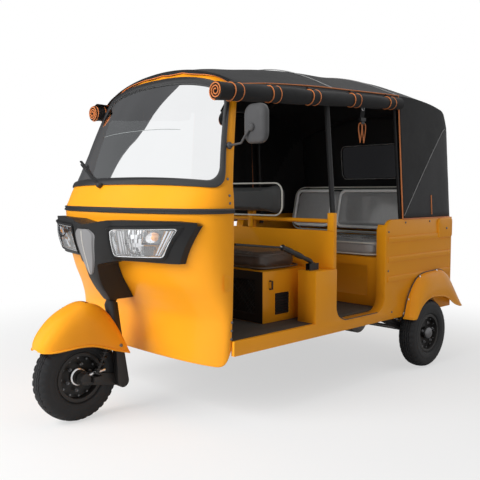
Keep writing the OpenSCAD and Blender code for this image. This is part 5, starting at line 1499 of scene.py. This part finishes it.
class WheelerFittings(Piece, bpy.types.Operator):
    """Small fittings on the body: mesh, vents, handles, trims, screws and plates"""
    bl_idname = "wheeler.fittings"
    bl_label = "Fittings"

    def build(self, scene):
        """Fittings seen through the doorways and on the sides."""
        self.seat_box()
        self.sides()
        self.plates()

    def seat_box(self):
        """Mesh on the front of the driver's seat box, and a vent and a handle on its ends."""
        box = Shape()
        y, top = -0.289, 0.650
        w, z0, z1 = 0.362, FLOOR_Z + 0.044, top - 0.044
        # Near-black sheet behind the mesh: painted shade of the box's hollow.
        box.box((-w, y + 0.004, z0), (w, y + 0.006, z1), 1)
        edge = 0.413
        for a, b, c, d in ((-edge, edge, FLOOR_Z + 0.002, z0), (-edge, edge, z1, top - 0.002),
                           (-edge, -w, z0, z1), (w, edge, z0, z1)):
            box.box((a, y - 0.0055, c), (b, y - 0.0042, d), 0)
        pitch = 0.022
        for i in range(-18, 50):
            for s in (-1, 1):
                x0 = -w + i * pitch if s > 0 else w - i * pitch
                a, b = Vector((x0, y, z0)), Vector((x0 + s * (z1 - z0), y, z1))
                lo, hi = sorted((a.x, b.x))
                if hi <= -w or lo >= w:
                    continue
                ends = []
                for p, q in ((a, b), (b, a)):
                    t = 0.0
                    if p.x < -w:
                        t = (-w - p.x) / (q.x - p.x)
                    if p.x > w:
                        t = (w - p.x) / (q.x - p.x)
                    ends.append(p.lerp(q, t))
                if (ends[1] - ends[0]).length > 0.01:
                    box.tube(ends, 0.0016, 5, 0)
        for z in (z0, z1):
            box.tube([(-w, y, z), (w, y, z)], 0.004, 8, 0)
        for x in (-w, w):
            box.tube([(x, y, z0), (x, y, z1)], 0.004, 8, 0)
        for s in (-1, 1):
            side = s * 0.4165
            y0, y1, a, b = -0.203, -0.098, FLOOR_Z + 0.035, FLOOR_Z + 0.145
            # Near-black sheet behind the vent's bars: painted shade.
            box.box((side - s * 0.008, y0, a), (side - s * 0.006, y1, b), 1)
            for i in range(7):
                z = mix(a + 0.01, b - 0.01, i / 6)
                box.tube([(side - s * 0.002, y0 + 0.004, z), (side - s * 0.002, y1 - 0.004, z)], 0.0035, 6, 0)
            box.tube([(side + s * 0.003, y0 - 0.045, 0.56), (side + s * 0.016, y0 - 0.04, 0.56),
                      (side + s * 0.016, y0 - 0.04, 0.60),
                      (side + s * 0.003, y0 - 0.045, 0.60)], 0.005, 8, 0)
        box.make("seat_box_mesh", "black pit", "black_paint")

    def sides(self):
        """Rubber at the doorways and screws on the sides."""
        trim = Shape()
        for s in (-1, 1):
            door = [Vector((s * 0.5988, y, DOOR_Z + up)) for y, up in (
                (DOOR_Y + 0.030, 0.022), (DOOR_Y + 0.075, 0.002), (DOOR_END_Y - 0.075, 0.002))]
            for p, q in zip(door, door[1:]):
                trim.tube([p, q], 0.0025, 6, 0)
            for y, z in ((QUARTER_Y + 0.03, WAIST_Z - 0.02), (QUARTER_Y + 0.30, WAIST_Z - 0.02),
                         (TAIL_Y - 0.06, WAIST_Z - 0.02),
                         (QUARTER_Y - 0.10, SILL_Z + 0.04), (DOOR_END_Y + 0.03, 0.82),
                         (DOOR_END_Y + 0.03, 0.60)):
                trim.lathe([(0.006, 0), (0.006, 0.002), (0.0035, 0.0035), (0.0002, 0.0035)],
                           (s * 0.5982, y, z), (s, 0, 0), 8, 1)
        trim.make("body_trim", "rubber dull", "rubber_trim")

    def plates(self):
        """Raised plate with a bolt at the rear of each quarter."""
        plate = Shape()
        for s in (-1, 1):
            low, high = Vector((0, 1.072, 0.760)), Vector((0, TAIL_Y - 0.004, WAIST_Z - 0.006))
            rows = []
            for grow, out in ((0.0, 0.0), (-0.001, 0.006), (-0.004, 0.009), (-0.010, 0.010), (-0.060, 0.010)):
                rows.append([Vector((s * (BODY_HALF + out), mix(low.y - grow, high.y + grow, (a + 1) / 2),
                                     mix(low.z - grow, high.z + grow, (b + 1) / 2)))
                             for a, b in square_ring(64, 0.20, 0.28)])
            plate.grid(rows, loop_cols=True, away=(0, 1.15, 0.82))
            plate.add(rows[-1], [tuple(range(64))])
            plate.lathe([(0.007, 0), (0.007, 0.003), (0.004, 0.005), (0.0002, 0.005)],
                        (s * (BODY_HALF + 0.010), 1.165, 0.819), (s, 0, 0), 8, 1)
        plate.make("quarter_plates", "yellow dull", "yellow_paint")


CARRIED = {
    "chassis_frame": ("black", 0.002), "floor_pan": ("mat", 0.002), "dash_panel": ("plastic", 0.003),
    "side_panel_left": ("yellow", 0.0015), "side_panel_right": ("yellow", 0.0015),
           "partition": ("yellow", 0.003),
    "driver_seat_box": ("yellow", 0.003), "battery_pack": ("plastic", 0.004),
           "rear_seat_base": ("yellow", 0.003),
    "tail_panel": ("yellow", 0.003), "tail_lamps": ("red", 0.003), "hood_frame": ("black", 0.0),
           "swing_arms": ("black", 0.002),
    "rear_springs": ("steel", 0.0), "drive_unit": ("cast", 0.002), "tow_bracket": ("black", 0.002),
           "fork": ("black", 0.001),
    "link_arm": ("black", 0.001), "front_spring": ("black", 0.0), "handlebar": ("black", 0.0),
           "front_rim": ("black", 0.001),
    "rear_rim_left": ("black", 0.001), "rear_rim_right": ("black", 0.001),
}


class WheelerCarried(Piece, bpy.types.Operator):
    """Finishes and soft edges of the frame's own parts that stay in view"""
    bl_idname = "wheeler.carried"
    bl_label = "Frame parts"

    def build(self, scene):
        """Dresses the parts of the frame."""
        for name, (cover, width) in CARRIED.items():
            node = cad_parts[name]
            node.data.materials.clear()
            node.data.materials.append(finish(cover))
            node.data.shade_smooth()
            weld = node.modifiers.new("join", "WELD")
            weld.merge_threshold = 1e-5
            if width:
                soften = node.modifiers.new("edges", "BEVEL")
                soften.width, soften.segments, soften.limit_method = width, 2, "ANGLE"
                soften.angle_limit = math.radians(40)
            split = node.modifiers.new("split", "EDGE_SPLIT")
            split.split_angle = math.radians(48)


CAMERA_PLACE = (2.58639, -2.62647, 1.04192)
CAMERA_DOWN, CAMERA_TURN, CAMERA_SENSOR = 4.15, 45.71, 36.0
# Lights: place, target and size
KEY_LIGHT = ((-0.6, -5.2, 3.2), (0.0, -0.6, 0.8), 3.6)
TOP_LIGHT = ((1.8, 0.6, 4.6), (0.0, 0.2, 0.6), 4.0)


class WheelerSet(Piece, bpy.types.Operator):
    """Floor, lights, sky and camera"""
    bl_idname = "wheeler.stage"
    bl_label = "Stage"

    def build(self, scene):
        """Studio round the vehicle."""
        stage = scene.wheeler_stage
        scene.view_settings.view_transform = "Standard"
        self.world(scene, stage)
        self.floor()
        self.card()
        self.light("key_light", *KEY_LIGHT, stage.key)
        self.light("top_light", *TOP_LIGHT, stage.fill)
        camera = bpy.data.objects.new("camera", bpy.data.cameras.new("camera"))
        scene.collection.objects.link(camera)
        camera.data.lens, camera.data.sensor_width = stage.lens, CAMERA_SENSOR
        camera.location = CAMERA_PLACE
        camera.rotation_euler = (math.radians(90 - CAMERA_DOWN), 0.0, math.radians(CAMERA_TURN))
        scene.camera = camera

    def light(self, name, place, target, size, watts):
        """One soft square light."""
        lamp = bpy.data.lights.new(name, "AREA")
        lamp.size, lamp.energy = size, watts
        item = bpy.data.objects.new(name, lamp)
        bpy.context.scene.collection.objects.link(item)
        item.location = place
        item.visible_glossy = False
        item.rotation_euler = (Vector(target) - Vector(place)).to_track_quat("-Z", "Y").to_euler()

    def world(self, scene, stage):
        """White to the camera and in reflections, softer as a light."""
        world = bpy.data.worlds.new("studio")
        scene.world = world
        world.use_nodes = True
        v = Value(world.node_tree)
        rays = [v.node("ShaderNodeLightPath", None, None, i) for i in (0, 3, 6)]
        seen = rays[0].maths("MAXIMUM", rays[0].maths("MAXIMUM", rays[0], rays[1]), rays[2])
        low = v.node("ShaderNodeBackground", None, {"Color": (1, 1, 1, 1), "Strength": stage.ambient})
        high = v.node("ShaderNodeBackground", None, {"Color": (1, 1, 1, 1), "Strength": 1.0})
        v.node("ShaderNodeMixShader", None, {0: seen, 1: low, 2: high}).surface("World Output")

    def floor(self):
        """Pale floor that keeps the shadow."""
        reach, level = 30, -0.0005
        corners = [(a * reach, b * reach, level) for a, b in ((-1, -1), (1, -1), (1, 1), (-1, 1))]
        material, v = blank_finish("floor")
        shader = v.tree.nodes["Principled BSDF"]
        place = v.place()
        grey = v.noise(place, 1.3, 3.0).tint((0.80, 0.80, 0.80, 1), (0.84, 0.84, 0.84, 1))
        v.feed(shader, Base_Color=grey, Roughness=0.9, Specular_IOR_Level=0.0)
        ray = v.node("ShaderNodeLightPath", None, None, 0)
        glow = v.node("ShaderNodeEmission", None, {"Color": (1, 1, 1, 1), "Strength": 1.0})
        matt = Value(v.tree, shader.outputs[0])
        x, y = v.axes(place, 0, 1)
        far = ((x * x + y * y) ** 0.5).step(1.2, 3.4)
        v.node("ShaderNodeMixShader", None, {0: ray * (far * 0.42 + 0.58), 1: matt, 2: glow}).surface()
        self.sheet("floor", corners, material)

    def card(self):
        """Dark wall to the right, seen only in reflections, as the one that the windscreen mirrors."""
        x, near, far, low, high = -4.7, -2.5, 9.0, -0.5, 9.0
        corners = [(x, near, low), (x, far, low), (x, far, high), (x, near, high)]
        material, v = blank_finish("card")
        shade = v.noise(v.place(), 0.35, 2.0).tint((0.055, 0.056, 0.058, 1), (0.16, 0.16, 0.165, 1))
        v.node("ShaderNodeEmission", None, {"Color": shade, "Strength": 1.0}).surface()
        item = self.sheet("dark_card", corners, material)
        item.visible_camera = item.visible_diffuse = item.visible_transmission = item.visible_shadow = False

    def sheet(self, name, corners, material):
        """One flat stage object."""
        mesh = bpy.data.meshes.new(name)
        mesh.from_pydata(corners, [], [(0, 1, 2, 3)])
        mesh.materials.append(material)
        item = bpy.data.objects.new(name, mesh)
        bpy.context.scene.collection.objects.link(item)
        return item


OPERATORS = (WheelerSet, WheelerCarried, WheelerFront, WheelerLamps, WheelerHood, WheelerCurtains,
             WheelerSeats,
             WheelerWheels, WheelerFenders, WheelerControls, WheelerFittings)


class WheelerPanel(bpy.types.Panel):
    """Sidebar of the three-wheeler"""
    bl_idname = "VIEW3D_PT_wheeler"
    bl_label = "Three-wheeler"
    bl_space_type = "VIEW_3D"
    bl_region_type = "UI"
    bl_category = "Three-wheeler"

    def draw(self, context):
        """Lists the settings and the steps."""
        for group in ("wheeler_look", "wheeler_cloth", "wheeler_stage"):
            settings = getattr(context.scene, group)
            for key in settings.__annotations__:
                self.layout.prop(settings, key)
        for step in OPERATORS:
            self.layout.operator(step.bl_idname)


GROUPS = {"wheeler_look": WheelerLook, "wheeler_cloth": WheelerCloth, "wheeler_stage": WheelerStage}


def register():
    """Registers the settings, the steps and the panel."""
    for key, group in GROUPS.items():
        bpy.utils.register_class(group)
        setattr(bpy.types.Scene, key, bpy.props.PointerProperty(type=group))
    for item in (*OPERATORS, WheelerPanel):
        bpy.utils.register_class(item)


def unregister():
    """Takes them out again."""
    for item in reversed((*OPERATORS, WheelerPanel)):
        bpy.utils.unregister_class(item)
    for key, group in reversed(GROUPS.items()):
        delattr(bpy.types.Scene, key)
        bpy.utils.unregister_class(group)


def main():
    """Runs the steps in order."""
    register()
    for step in OPERATORS:
        group, name = step.bl_idname.split(".")
        if getattr(getattr(bpy.ops, group), name)() != {"FINISHED"}:
            raise RuntimeError(step.bl_label + " did not finish")


if __name__ == "__main__":
    main()
